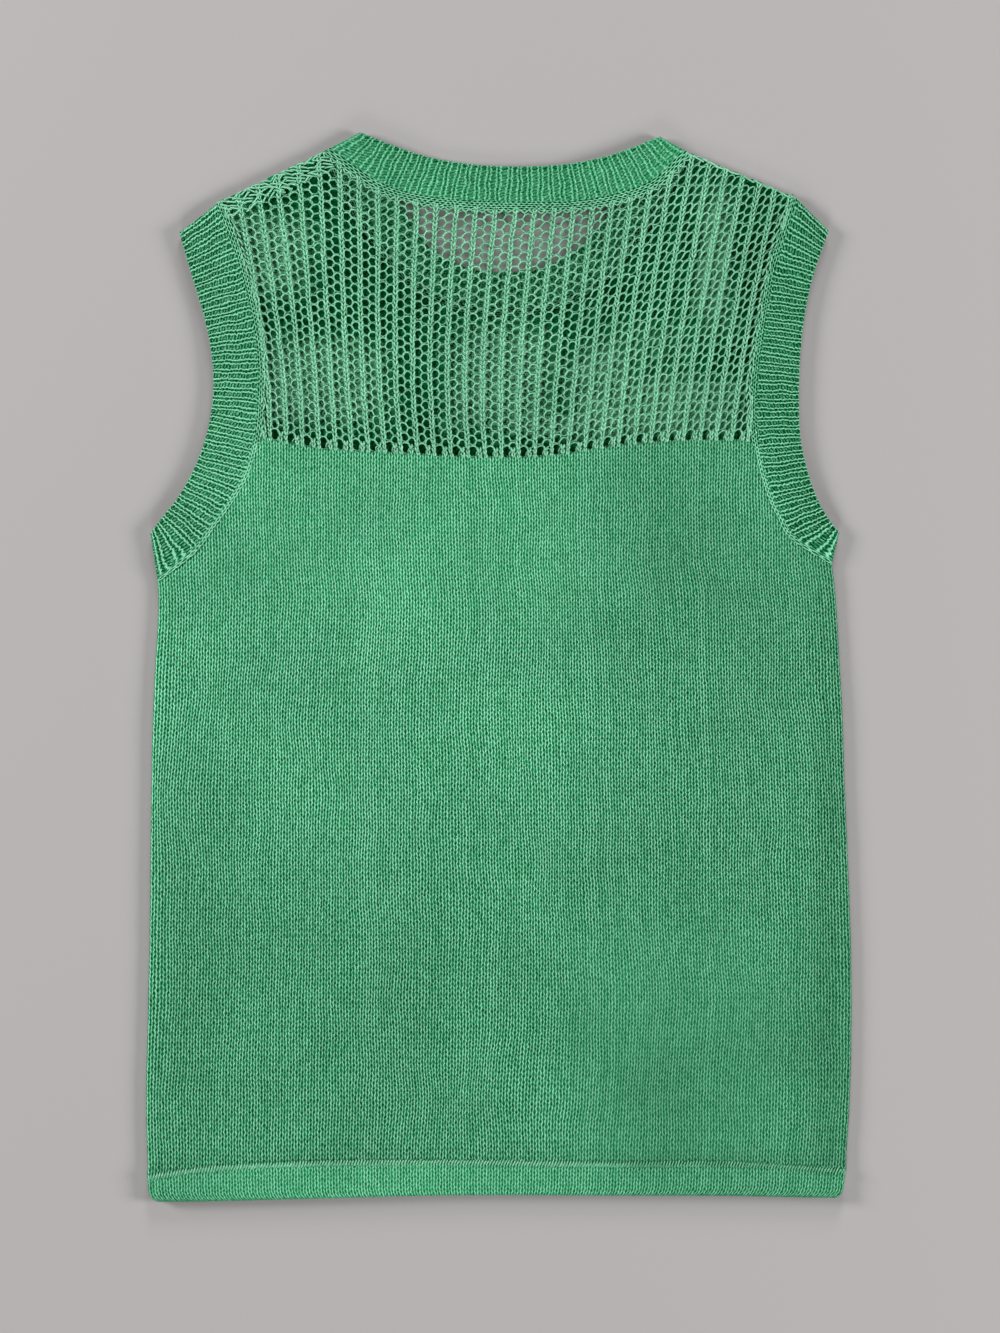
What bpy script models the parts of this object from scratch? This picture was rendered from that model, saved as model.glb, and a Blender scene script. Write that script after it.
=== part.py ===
"""Knitted sweater vest, lying flat on its front with its back up.

+X runs across the garment, +Y from the hem to the neck and +Z up out of the cloth. The origin is under the
middle of the garment, on the surface that it lies on. Left and right are the sides as they are seen from above.
Sizes are in millimetres until a mesh is made. Each piece is a wall of cloth between an upper and a lower grid of
points. Heights in the tables are measured from the hem's lowest edge, and reaches from the centre line.
"""

from functools import partial

import bmesh
import bpy
import numpy as np

MM = 0.001
TINY = 1e-9

# The garment's place and the walls of its cloth.
HEM_TO_MIDDLE = 330.4
HALF_WIDTH = 218.8
JERSEY_WALL = 2.0
BAND_WALL = 2.4
HEM_WALL = 3.0
LAYER_GAP = 0.4
SEAM_GAP = 0.3

# The rounded fold along the sides and shoulders, where the back turns into the front.
FOLD_REACH = 4.5
FOLD_STEPS = (0.0, 0.25, 0.6, 1.0)

# Ribs of the bands and of the openwork yoke.
RIB_RISE = 0.9
NECK_RIBS = 31
ARMHOLE_RIBS = 37
NET_RIBS = 30
NET_RIB_WIDTH = 3.4
NET_RIB_RISE = 0.9

# How far in a free edge of cloth is rounded, and the share of the wall that each face loses at the very edge.
EDGE_REACH = 1.3
EDGE_STEP = 0.4
EDGE_SHARE = 0.4

# The hem: its rounded corner, and how far above it the body still rises to the doubled cloth.
HEM_CORNER = 7.0
HEM_RAMP = 20.0

# The back sinks a little where the front's neckline leaves nothing under it.
DIP_DEPTH = 1.6
DIP_START = 16.0
DIP_RAMP = 20.0

# Grid steps. The foot of the yoke is at the armhole's row of that number.
BODY_COLUMNS = 14
BODY_ROWS = 9
FRONT_COLUMNS = 34
PLAIN_BAND_STEPS = 26
STEPS_PER_RIB = 3
CURVE_STEPS = 60
ROWS_PER_SEAM_SPAN = 2
FOOT_ROW = 5

GREEN = (0.115, 0.43, 0.21, 1.0)
ROUGHNESS = 0.92
SHARP_DEGREES = 40.0

# Sides: height, left reach, right reach.
SIDES = (
    (-2.0, 217.0, 213.4),
    (12.0, 217.6, 214.5),
    (62.0, 218.9, 217.6),
    (124.0, 217.8, 218.9),
    (186.0, 216.4, 217.6),
    (260.0, 215.8, 214.5),
    (322.0, 213.8, 212.0),
    (383.2, 212.0, 208.0),
    (394.3, 213.0, 206.5),
)

# Hem: across, height of its lower edge, height of its upper line.
HEM = (
    (-219.0, -1.0, 14.9),
    (-195.0, -1.0, 18.6),
    (-124.0, 0.6, 23.4),
    (-30.0, 2.9, 24.2),
    (68.0, 2.8, 23.2),
    (146.0, 2.5, 23.2),
    (219.0, 1.0, 18.4),
)

# Foot of the openwork yoke: across, height.
YOKE_FOOT = (
    (-149.8, 472.0),
    (-112.0, 465.4),
    (-70.0, 462.8),
    (-20.0, 459.9),
    (30.0, 460.6),
    (72.0, 466.6),
    (112.0, 470.4),
    (158.8, 470.0),
)

# Bands, one row a rib: free edge across, free edge height, seam across, seam height.
BACK_NECK = (
    (-86.2, 662.2, -107.9, 651.0),
    (-67.6, 654.7, -80.5, 630.8),
    (-42.8, 646.7, -52.0, 620.5),
    (-18.0, 642.6, -22.0, 616.8),
    (13.0, 641.1, 12.5, 615.8),
    (44.0, 642.9, 48.0, 616.2),
    (68.8, 647.9, 79.0, 622.3),
    (87.0, 654.3, 101.0, 632.6),
    (99.8, 659.7, 117.8, 649.8),
)
FRONT_NECK = (
    (-86.2, 662.2, -107.9, 651.0),
    (-72.0, 637.0, -96.0, 625.0),
    (-57.0, 611.3, -79.0, 597.0),
    (-40.3, 588.5, -55.0, 568.0),
    (-16.0, 577.6, -22.0, 553.0),
    (7.4, 575.4, 8.0, 550.4),
    (30.0, 579.6, 38.0, 556.0),
    (48.0, 590.0, 65.0, 571.5),
    (62.0, 604.0, 83.0, 592.0),
    (77.0, 627.0, 99.5, 617.0),
    (99.8, 659.7, 117.8, 649.8),
)
ARMHOLE_LEFT = (
    (-198.4, 600.2, -173.6, 619.4),
    (-189.7, 570.4, -159.5, 582.0),
    (-182.3, 545.6, -152.0, 553.0),
    (-177.9, 520.8, -147.2, 522.7),
    (-177.3, 500.0, -147.4, 498.0),
    (-180.5, 478.0, -149.8, 472.0),
    (-188.0, 456.0, -157.5, 446.5),
    (-200.3, 434.0, -176.0, 418.5),
    (-210.2, 421.6, -191.0, 399.5),
    (-216.4, 412.9, -212.0, 383.2),
)
ARMHOLE_RIGHT = (
    (204.6, 601.4, 183.5, 622.5),
    (194.1, 570.4, 169.0, 577.0),
    (189.1, 545.6, 163.9, 549.0),
    (186.6, 520.8, 160.0, 524.0),
    (186.0, 496.0, 157.4, 496.5),
    (187.2, 471.2, 158.8, 470.0),
    (191.2, 452.6, 163.4, 448.0),
    (197.8, 434.0, 172.4, 425.0),
    (205.8, 420.4, 185.0, 407.5),
    (211.4, 413.5, 206.5, 394.3),
)

# Soft swells of the upper cloth: across, height, half length along Y, half width, lean, rise. They fade out
# over a distance from the sides and from the hem.
SWELL_FADE = 50.0
SWELLS = (
    (-20.0, 240.0, 190.0, 42.0, -0.10, 1.5),
    (105.0, 190.0, 170.0, 34.0, 0.12, 1.2),
    (-135.0, 300.0, 140.0, 30.0, 0.08, 1.1),
    (55.0, 400.0, 90.0, 38.0, 0.30, 1.0),
    (-70.0, 90.0, 90.0, 40.0, -0.30, 1.0),
    (165.0, 330.0, 120.0, 22.0, -0.05, 0.9),
)


def clear_scene():
    for obj in list(bpy.data.objects):
        bpy.data.objects.remove(obj, do_unlink=True)


def column(table, index):
    return np.array([row[index] for row in table], float)


def smooth(knots, values, at):
    """A smooth curve through the values at the knots, with each slope taken from the two neighbours."""
    at = np.clip(np.asarray(at, float), knots[0], knots[-1])
    slopes = np.gradient(values, knots)
    left = np.clip(np.searchsorted(knots, at, side="right") - 1, 0, len(knots) - 2)
    span = knots[left + 1] - knots[left]
    t = (at - knots[left]) / span
    rise = values[left + 1] - values[left]
    start_slope = slopes[left] * span
    end_slope = slopes[left + 1] * span
    bend = (start_slope - rise) * (1 - t) - (end_slope - rise) * t
    return values[left] + t * rise + t * (1 - t) * bend


def ease(share):
    """0 below 0, 1 above 1 and a soft step between."""
    share = np.clip(share, 0.0, 1.0)
    return share * share * (3.0 - 2.0 * share)


def to_middle(height):
    """Turns a height above the hem into Y."""
    return height - HEM_TO_MIDDLE


def side_reach(height, side):
    """How far the left (-1) or right (1) side stands from the centre line at a height above the hem."""
    knots = column(SIDES, 0)
    return side * smooth(knots, column(SIDES, 1 if side < 0 else 2), height)


def hem_edge(across):
    return smooth(column(HEM, 0), column(HEM, 1), across)


def hem_line(across):
    return smooth(column(HEM, 0), column(HEM, 2), across)


def yoke_foot(across):
    return smooth(column(YOKE_FOOT, 0), column(YOKE_FOOT, 1), across)


class Band:
    """The two long edges of a band, read at places that run from 0 at its first row to 1 at its last."""

    def __init__(self, table):
        self.edge_knots = self.spread(column(table, 0), column(table, 1))
        self.table = table

    @staticmethod
    def spread(across, height):
        """Places from 0 to 1, by the length along the free edge."""
        steps = np.hypot(np.diff(across), np.diff(height))
        return np.concatenate([[0.0], np.cumsum(steps)]) / steps.sum()

    def edge(self, place):
        return self.read(place, 0)

    def seam(self, place):
        return self.read(place, 2)

    def read(self, place, first):
        points = [smooth(self.edge_knots, column(self.table, first + k), place) for k in (0, 1)]
        return np.stack(points, axis=-1)


BAND_OF = {
    "back_neck": Band(BACK_NECK),
    "front_neck": Band(FRONT_NECK),
    "left": Band(ARMHOLE_LEFT),
    "right": Band(ARMHOLE_RIGHT),
}


def seam_knots(band):
    """Places along an armhole seam from the shoulder fold to the underarm, closer together near the fold."""
    knots = band.edge_knots
    first_span = np.hypot(*(band.seam(knots[1]) - band.seam(0.0)))
    fold_share = FOLD_REACH / first_span
    near_fold = [step * fold_share * knots[1] for step in FOLD_STEPS]
    spans = []
    for start, stop in zip(knots[:-1], knots[1:]):
        spans += [start + (stop - start) * k / ROWS_PER_SEAM_SPAN for k in range(ROWS_PER_SEAM_SPAN)]
    return np.array(near_fold + [s for s in spans if s > near_fold[-1]] + [1.0])


def armhole_seam(band, places):
    """An armhole seam as straight steps between its knots, so that pieces with other steps don't cross."""
    knots = seam_knots(band)
    corners = band.seam(knots)
    return np.stack([np.interp(places, knots, corners[:, k]) for k in (0, 1)], axis=-1)


def fold_lines():
    """The sides and the shoulders, each as its points and the way inwards from it."""
    lines = []
    for side, band in ((-1, BAND_OF["left"]), (1, BAND_OF["right"])):
        heights = np.linspace(SIDES[0][0], band.seam(1.0)[1], CURVE_STEPS)
        flank = np.stack([side_reach(heights, side), heights], axis=-1)
        flank = np.concatenate([flank, [band.seam(1.0)], [band.edge(1.0)]])
        lines.append((flank, np.array([-side, 0.0])))
        neck_end = 0.0 if side < 0 else 1.0
        neck = BAND_OF["back_neck"]
        shoulder = np.array([neck.edge(neck_end), neck.seam(neck_end), band.seam(0.0), band.edge(0.0)])
        fall = shoulder[-1] - shoulder[0]
        inward = np.array([-fall[1], fall[0]]) * -side
        lines.append((shoulder, inward / np.hypot(*inward)))
    return lines


def distance_to(points, line):
    """The shortest distance from each point to a line of straight steps."""
    nearest = np.full(points.shape[:-1], np.inf)
    for start, stop in zip(line[:-1], line[1:]):
        along = stop - start
        share = ((points - start) @ along) / max(along @ along, TINY)
        foot = start + np.clip(share, 0.0, 1.0)[..., None] * along
        nearest = np.minimum(nearest, np.hypot(*np.moveaxis(points - foot, -1, 0)))
    return nearest


FOLD_LINES = fold_lines()


def fold_turn(points):
    """How far the cloth has turned towards a fold: 1 on the fold and 0 a fold's reach away, with the way inwards."""
    turn = np.zeros(points.shape[:-1])
    inward = np.zeros(points.shape)
    for line, direction in FOLD_LINES:
        here = np.clip(1.0 - distance_to(points, line) / FOLD_REACH, 0.0, 1.0)
        inward[here > turn] = direction
        turn = np.maximum(turn, here)
    return turn, inward


def swell(points):
    """The soft swells of the upper cloth, which die out at the folds and at the hem."""
    rise = np.zeros(points.shape[:-1])
    for across, height, half_length, half_width, lean, top in SWELLS:
        up = points[..., 1] - height
        out = points[..., 0] - across - lean * up
        rise += top * np.exp(-((out / half_width) ** 2) - (up / half_length) ** 2)
    from_side = HALF_WIDTH - np.abs(points[..., 0])
    from_hem = points[..., 1] - hem_line(points[..., 0])
    return rise * ease(from_side / SWELL_FADE) * ease(from_hem / SWELL_FADE)


def neck_dip(points):
    """How far the back sinks inside the front's neckline."""
    neck = BAND_OF["front_neck"].edge(np.linspace(0.0, 1.0, CURVE_STEPS))
    inside = points[..., 1] > np.interp(points[..., 0], neck[:, 0], neck[:, 1])
    inside &= (points[..., 0] > neck[0, 0]) & (points[..., 0] < neck[-1, 0])
    depth = np.where(inside, distance_to(points, neck), 0.0)
    return DIP_DEPTH * ease((depth - DIP_START) / DIP_RAMP)


def back_underside(points, wall):
    """The height of the back's lower face above the surface, for a piece with that wall."""
    base = max(wall, BAND_WALL)
    over_hem = 1.0 - (points[..., 1] - hem_line(points[..., 0])) / HEM_RAMP
    return base + LAYER_GAP + (HEM_WALL - base) * ease(over_hem) + swell(points) - neck_dip(points)


def free_edge(away, wall):
    """How far a face draws in at a free edge, for a distance away from that edge."""
    return wall * EDGE_SHARE * (1.0 - np.sqrt(1.0 - np.clip(1.0 - away / EDGE_REACH, 0.0, 1.0) ** 2))


def wall_grids(points, wall, is_back, raised=0.0, away=None, ends=None):
    """The upper and lower grids of a wall of cloth over a grid of XY points.

    raised lifts the upper face for ribs, away is each point's distance from a free edge, and ends are the ways
    into the piece from its first and last row, where these differ from the way across the fold.
    """
    turn, inward = fold_turn(points)
    if ends is not None:
        half = len(points) // 2
        inward[:half], inward[half:] = ends
    flat = np.sqrt(1.0 - turn**2)
    draw = free_edge(away, wall) if away is not None else 0.0
    middle = wall + LAYER_GAP / 2
    if is_back:
        seam_level = middle + SEAM_GAP / 2
        low = back_underside(points, wall)
        top = low + wall + raised - draw
        low = low + draw
        upper = np.dstack([points, seam_level + (top - seam_level) * flat])
        shifted = points + inward * (turn * wall)[..., None]
        lower = np.dstack([shifted, seam_level + (low - seam_level) * flat])
    else:
        seam_level = middle - SEAM_GAP / 2
        lower = np.dstack([points, seam_level + (draw - seam_level) * flat])
        shifted = points + inward * (turn * wall)[..., None]
        upper = np.dstack([shifted, seam_level + (wall - draw - seam_level) * flat])
    return upper, lower


def material(name):
    mat = bpy.data.materials.new(name)
    mat.use_nodes = True
    shader = mat.node_tree.nodes["Principled BSDF"]
    shader.inputs["Base Color"].default_value = GREEN
    shader.inputs["Roughness"].default_value = ROUGHNESS
    shader.inputs["Metallic"].default_value = 0.0
    return mat


def grid_faces(rows, columns, start, flip):
    faces = []
    for i in range(rows - 1):
        for j in range(columns - 1):
            a = start + i * columns + j
            face = (a, a + 1, a + columns + 1, a + columns)
            faces.append(face[::-1] if flip else face)
    return faces


def border_faces(rows, columns):
    """The strips that close a wall between the borders of its two grids."""
    low = list(range(columns))
    right = [i * columns + columns - 1 for i in range(1, rows)]
    high = [(rows - 1) * columns + j for j in range(columns - 2, -1, -1)]
    left = [i * columns for i in range(rows - 2, 0, -1)]
    loop = low + right + high + left
    other = rows * columns
    return [(b, a, a + other, b + other) for a, b in zip(loop, loop[1:] + loop[:1])]


def add_wall(name, grids):
    """Makes one closed piece of cloth from its upper and lower grids."""
    upper, lower = grids
    rows, columns = upper.shape[:2]
    points = np.concatenate([upper.reshape(-1, 3), lower.reshape(-1, 3)])
    points[:, 1] = to_middle(points[:, 1])
    faces = grid_faces(rows, columns, 0, False)
    faces += grid_faces(rows, columns, rows * columns, True)
    faces += border_faces(rows, columns)
    mesh = bpy.data.meshes.new(name)
    mesh.from_pydata((points * MM).tolist(), [], faces)
    shape = bmesh.new()
    shape.from_mesh(mesh)
    bmesh.ops.recalc_face_normals(shape, faces=shape.faces)
    shape.to_mesh(mesh)
    shape.free()
    mesh.shade_smooth()
    mesh.set_sharp_from_angle(angle=np.radians(SHARP_DEGREES))
    mesh.materials.append(material(name + "_knit"))
    obj = bpy.data.objects.new(name, mesh)
    bpy.context.scene.collection.objects.link(obj)
    return obj


def across_row(left, right):
    """Places from one side to the other: the steps of the folds at both ends and even steps between."""
    fold = np.array(FOLD_STEPS[:-1]) * FOLD_REACH
    middle = np.linspace(left + FOLD_REACH, right - FOLD_REACH, BODY_COLUMNS + 1)
    return np.concatenate([left + fold, middle, right - fold[::-1]])


def body_ends():
    """The left and right ends of the body's rows, from the hem's line to the foot of the yoke."""
    ends = []
    for side, band in ((-1, BAND_OF["left"]), (1, BAND_OF["right"])):
        lowest = hem_line(side_reach(HEM_RAMP, side)) + SEAM_GAP
        underarm = band.seam(1.0)[1]
        heights = np.linspace(lowest, underarm, BODY_ROWS + 1)[:-1]
        flank = np.stack([side_reach(heights, side), heights], axis=-1)
        knots = seam_knots(band)
        beside_arm = band.seam(knots[knots >= band.edge_knots[FOOT_ROW] - TINY][::-1])
        ends.append(np.concatenate([flank, beside_arm]))
    return ends


def body_points():
    """The body's grid of XY points, a row for each pair of ends."""
    rows = []
    for left, right in zip(*body_ends()):
        across = across_row(left[0], right[0])
        share = (across - left[0]) / (right[0] - left[0])
        low = hem_line(across) + SEAM_GAP
        high = yoke_foot(across)
        left_climb = (left[1] - low[0]) / (high[0] - low[0])
        right_climb = (right[1] - low[-1]) / (high[-1] - low[-1])
        climb = left_climb + share * (right_climb - left_climb)
        rows.append(np.stack([across, low + climb * (high - low)], axis=-1))
    return np.array(rows)


def hem_row(up):
    """One row of the hem, at a distance up from its lower edge and narrowed by the rounded corners."""
    missing = HEM_CORNER - min(up, HEM_CORNER)
    rounding = HEM_CORNER - np.sqrt(HEM_CORNER**2 - missing**2)
    across = across_row(side_reach(up, -1) + rounding, side_reach(up, 1) - rounding)
    return np.stack([across, hem_edge(across) + up], axis=-1)


def hem_points():
    """The hem's grid and each point's distance from its lower edge."""
    ups = (0.0, EDGE_STEP, EDGE_REACH, HEM_CORNER / 2, HEM_CORNER)
    across = body_points()[0, :, 0]
    top = np.stack([across, hem_line(across)], axis=-1)
    rows = np.array([hem_row(up) for up in ups] + [top])
    away = np.concatenate([ups, [HEM_RAMP]])[:, None] + np.zeros(len(across))
    return rows, away


def band_points(band, places, seam):
    """A band's grid: a row for each place along it, from the free edge to just short of the seam."""
    edge = band.edge(places)
    reach = np.hypot(*(seam - edge).T)
    whole = np.ones_like(reach)
    away = np.stack([0.0 * whole, EDGE_STEP * whole, EDGE_REACH * whole, reach - SEAM_GAP], axis=-1)
    points = edge[:, None] + (seam - edge)[:, None] * (away / reach[:, None])[..., None]
    return points, away


def band_ends(band):
    """The ways into a band from its two ends, along its seam."""
    step = 1.0 / CURVE_STEPS
    ways = np.array([band.seam(step) - band.seam(0.0), band.seam(1.0 - step) - band.seam(1.0)])
    return ways / np.hypot(ways[:, 0], ways[:, 1])[:, None]


def rib_rise(places, ribs):
    """The rise at each place of a ribbed band, which has three places a rib: a gutter and a flat crest."""
    return np.where(np.arange(len(places)) % (len(places) // ribs) == 0, 0.0, RIB_RISE)


def top_across(share):
    """Across, at the yoke's upper edge, for a share of the way from its left corner to its right one."""
    left, right = BAND_OF["left"].seam(0.0)[0], BAND_OF["right"].seam(0.0)[0]
    return left + share * (right - left)


def yoke_top(neck, across):
    """The yoke's upper edge: both shoulders and the seam of the neck band between them."""
    left, right = BAND_OF["left"].seam(0.0), BAND_OF["right"].seam(0.0)
    line = np.concatenate([[left], neck.seam(np.linspace(0.0, 1.0, 4 * CURVE_STEPS)), [right]])
    return np.interp(across, line[:, 0], line[:, 1])


def yoke_shares(neck, is_back):
    """Shares of the way across for the yoke's columns, with the nearest ones moved to the corners at the neck."""
    width = top_across(1.0) - top_across(0.0)
    if is_back:
        crests = (np.arange(NET_RIBS) + 0.5) / NET_RIBS
        half = NET_RIB_WIDTH / 2 / width
        shares = np.sort(np.concatenate([[0.0, 1.0], crests - half, crests, crests + half]))
    else:
        shares = np.linspace(0.0, 1.0, FRONT_COLUMNS + 1)
    for end in (0.0, 1.0):
        corner = (neck.seam(end)[0] - top_across(0.0)) / width
        shares[np.argmin(np.abs(shares - corner))] = corner
    return shares


def net_rise(shares):
    """The rise of the openwork's vertical ribs, highest on their crests."""
    off_crest = np.abs((shares * NET_RIBS) % 1.0 - 0.5) / NET_RIBS * (top_across(1.0) - top_across(0.0))
    return NET_RIB_RISE * np.clip(1.0 - off_crest / (NET_RIB_WIDTH / 2), 0.0, 1.0)


def neck_seam(neck, places, is_back):
    """The neck seam, on the straight steps of the yoke's upper edge."""
    corners = top_across(yoke_shares(neck, is_back))
    seam = neck.seam(places)
    seam[:, 1] = np.interp(seam[:, 0], corners, yoke_top(neck, corners))
    return seam


def yoke_ends():
    """The left and right ends of the yoke's rows, from its foot to the shoulder folds."""
    ends = []
    for band in (BAND_OF["left"], BAND_OF["right"]):
        knots = seam_knots(band)
        ends.append(band.seam(knots[knots <= band.edge_knots[FOOT_ROW] + TINY][::-1]))
    return ends


def yoke_points(neck, shares):
    """The yoke's grid, spread between its four edges, with a column for each share of the way across."""
    left, right = yoke_ends()
    body_top = body_points()[-1]
    foot_across = left[0, 0] + shares * (right[0, 0] - left[0, 0])
    foot_height = np.interp(foot_across, body_top[:, 0], body_top[:, 1]) + SEAM_GAP
    foot = np.stack([foot_across, foot_height], axis=-1)
    top = np.stack([top_across(shares), yoke_top(neck, top_across(shares))], axis=-1)
    climbs = (left[:, 1] - left[0, 1]) / (left[-1, 1] - left[0, 1])
    rows = []
    for i, climb in enumerate(climbs):
        left_bow = left[i] - (1 - climb) * left[0] - climb * left[-1]
        right_bow = right[i] - (1 - climb) * right[0] - climb * right[-1]
        bow = left_bow + shares[:, None] * (right_bow - left_bow)
        rows.append((1 - climb) * foot + climb * top + bow)
    return np.array(rows)


def build_panel(layer, is_back):
    """The hem, body and yoke of the back or the front."""
    hem, away = hem_points()
    add_wall(layer + "_hem", wall_grids(hem, HEM_WALL, is_back, away=away))
    add_wall(layer + "_body", wall_grids(body_points(), JERSEY_WALL, is_back))
    neck = BAND_OF[layer + "_neck"]
    shares = yoke_shares(neck, is_back)
    rise = net_rise(shares) if is_back else 0.0
    add_wall(layer + "_yoke", wall_grids(yoke_points(neck, shares), JERSEY_WALL, is_back, rise))


def build_band(name, band, seam_of, ribs, is_back):
    """A ribbed band above, or the plain one under it, whose outer face rests flat."""
    steps = ribs * STEPS_PER_RIB if is_back else PLAIN_BAND_STEPS
    places = np.linspace(0.0, 1.0, steps + 1)
    rise = rib_rise(places, ribs)[:, None] if is_back else 0.0
    points, away = band_points(band, places, seam_of(band, places))
    add_wall(name, wall_grids(points, BAND_WALL, is_back, rise, away, band_ends(band)))


def main():
    clear_scene()
    for layer, is_back in (("back", True), ("front", False)):
        build_panel(layer, is_back)
        neck = BAND_OF[layer + "_neck"]
        build_band(layer + "_neck_band", neck, partial(neck_seam, is_back=is_back), NECK_RIBS, is_back)
        for side in ("left", "right"):
            name = f"{layer}_armhole_band_{side}"
            build_band(name, BAND_OF[side], armhole_seam, ARMHOLE_RIBS, is_back)


main()
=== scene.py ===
"""Looks of the knitted sweater vest that lies flat with its back up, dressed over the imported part.

Sizes are in millimetres until a mesh is made. Heights (y) run along the garment from the hem's lowest edge,
across (x) is towards its right, and levels are above the surface that it lies on. In what is kept by layer or
by side, True is the back and -1 the left.
"""

from collections import namedtuple
from functools import partial

import bpy
import numpy as np
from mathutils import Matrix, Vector


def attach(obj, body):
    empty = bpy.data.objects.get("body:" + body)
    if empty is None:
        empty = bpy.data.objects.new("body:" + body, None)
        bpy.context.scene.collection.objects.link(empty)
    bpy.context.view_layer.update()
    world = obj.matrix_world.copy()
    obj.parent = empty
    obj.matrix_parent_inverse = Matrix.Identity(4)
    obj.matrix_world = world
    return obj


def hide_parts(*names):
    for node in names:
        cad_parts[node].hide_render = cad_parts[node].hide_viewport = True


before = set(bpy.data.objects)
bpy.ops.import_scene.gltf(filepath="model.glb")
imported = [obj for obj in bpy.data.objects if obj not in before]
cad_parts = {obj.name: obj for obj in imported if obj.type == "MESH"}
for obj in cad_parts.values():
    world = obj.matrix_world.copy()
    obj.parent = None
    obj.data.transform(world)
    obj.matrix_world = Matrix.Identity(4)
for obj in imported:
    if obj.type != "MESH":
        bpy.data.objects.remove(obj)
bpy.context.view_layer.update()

MM = 0.001
TINY = 1e-9
TURN = 2 * np.pi
LAYERS = {False: "front", True: "back"}
SIDE_NAMES = {-1: "left", 1: "right"}

# The same shape as the part's solids have.
HEM_TO_MIDDLE = 330.4
HALF_WIDTH = 218.8
JERSEY_WALL = 2
BAND_WALL = 2.4
HEM_WALL = 3
LAYER_GAP = 0.4
SEAM_GAP = 0.3
FOLD_REACH = 4.5
EDGE_REACH = 1.3
EDGE_SHARE = 0.4
HEM_CORNER = 7
HEM_RAMP = 20
DIP_DEPTH = 1.6
DIP_START = 16
DIP_RAMP = 20
CURVE_STEPS = 60

# Stitches: wales across the jersey, the height of courses low and high on the body, on the hem and on the
# bands, the bands' ribs and where their legs stand, and the rows of the linking chains and of the openwork.
WALES = 120
COURSE_LOW = 3.1
COURSE_HIGH = 2.7
HEM_COURSE = 2.75
BODY_TOP = 460
NECK_RIBS = {True: 31, False: 46}
ARMHOLE_RIBS = 37
RIB_COURSE = 2.9
LEG_AT = 0.195
LINK_ROW = 2.7
NET_ROW = 5.85

# Sides: height, left reach, right reach.
SIDES = (
    (-2, 217, 213.4), (12, 217.6, 214.5), (62, 218.9, 217.6), (124, 217.8, 218.9), (186, 216.4, 217.6),
    (260, 215.8, 214.5), (322, 213.8, 212), (383.2, 212, 208), (394.3, 213, 206.5),
)

# Hem: across, height of its lower edge, height of its upper line.
HEM = (
    (-219, -1, 14.9), (-195, -1, 18.6), (-124, 0.6, 23.4), (-30, 2.9, 24.2), (68, 2.8, 23.2),
    (146, 2.5, 23.2), (219, 1, 18.4),
)

# Foot of the openwork yoke: across, height.
YOKE_FOOT = (
    (-149.8, 472), (-112, 465.4), (-70, 462.8), (-20, 459.9), (30, 460.6), (72, 466.6), (112, 470.4),
    (158.8, 470),
)

# Bands: free edge across, free edge height, seam across, seam height.
BACK_NECK = (
    (-86.2, 662.2, -107.9, 651), (-67.6, 654.7, -80.5, 630.8), (-42.8, 646.7, -52, 620.5),
    (-18, 642.6, -22, 616.8), (13, 641.1, 12.5, 615.8), (44, 642.9, 48, 616.2), (68.8, 647.9, 79, 622.3),
    (87, 654.3, 101, 632.6), (99.8, 659.7, 117.8, 649.8),
)
FRONT_NECK = (
    BACK_NECK[0], (-72, 637, -96, 625), (-57, 611.3, -79, 597), (-40.3, 588.5, -55, 568),
    (-16, 577.6, -22, 553), (7.4, 575.4, 8, 550.4), (30, 579.6, 38, 556), (48, 590, 65, 571.5),
    (62, 604, 83, 592), (77, 627, 99.5, 617), BACK_NECK[-1],
)
ARMHOLE_LEFT = (
    (-198.4, 600.2, -173.6, 619.4), (-189.7, 570.4, -159.5, 582), (-182.3, 545.6, -152, 553),
    (-177.9, 520.8, -147.2, 522.7), (-177.3, 500, -147.4, 498), (-180.5, 478, -149.8, 472),
    (-188, 456, -157.5, 446.5), (-200.3, 434, -176, 418.5), (-210.2, 421.6, -191, 399.5),
    (-216.4, 412.9, -212, 383.2),
)
ARMHOLE_RIGHT = (
    (204.6, 601.4, 183.5, 622.5), (194.1, 570.4, 169, 577), (189.1, 545.6, 163.9, 549),
    (186.6, 520.8, 160, 524), (186, 496, 157.4, 496.5), (187.2, 471.2, 158.8, 470),
    (191.2, 452.6, 163.4, 448), (197.8, 434, 172.4, 425), (205.8, 420.4, 185, 407.5),
    (211.4, 413.5, 206.5, 394.3),
)

# The row of an armhole's table at which the openwork ends and the jersey begins.
FOOT_ROW = 5

# Soft swells of the upper cloth: across, height, half width, half length, lean, rise.
SWELL_FADE = 50
SWELLS = (
    (-20, 240, 42, 190, -0.10, 1.5),
    (105, 190, 34, 170, 0.12, 1.2),
    (-135, 300, 30, 140, 0.08, 1.1),
    (55, 400, 38, 90, 0.30, 1),
    (-70, 90, 40, 90, -0.30, 1),
    (165, 330, 22, 120, -0.05, 0.9),
)

# Painted light and shade on the upper cloth, in lighter and darker stretches: across, height, half width,
# half length, lean, amount.
PAINTED_LIGHT_PATCHES = (
    (-190, 140, 26, 120, 0.05, -0.17),
    (-70, 95, 34, 62, 0.10, -0.08),
    (130, 72, 90, 60, 0, -0.08),
    (-112, 256, 24, 36, 0.15, 0.09),
    (-60, 385, 52, 80, 0, 0.06),
    (-158, 340, 14, 60, 0, -0.05),
    (205, 200, 14, 260, 0, -0.16),
    (120, 400, 40, 60, 0.20, -0.06),
    (-130, 400, 46, 80, 0, -0.04),
    (-20, 180, 18, 80, -0.05, 0.04),
)

# Painted shade on each band: how much darker it is, by the last word of its name.
BAND_PAINTED_SHADE = {"band": 0, "left": 0, "right": -0.10}

# How far the body reaches in under the hem's ridge, and the linking chains over the openwork and the jersey.
HEM_LAP = 0.6
NET_LAP = 2.2
JERSEY_LAP = 0.7

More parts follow.
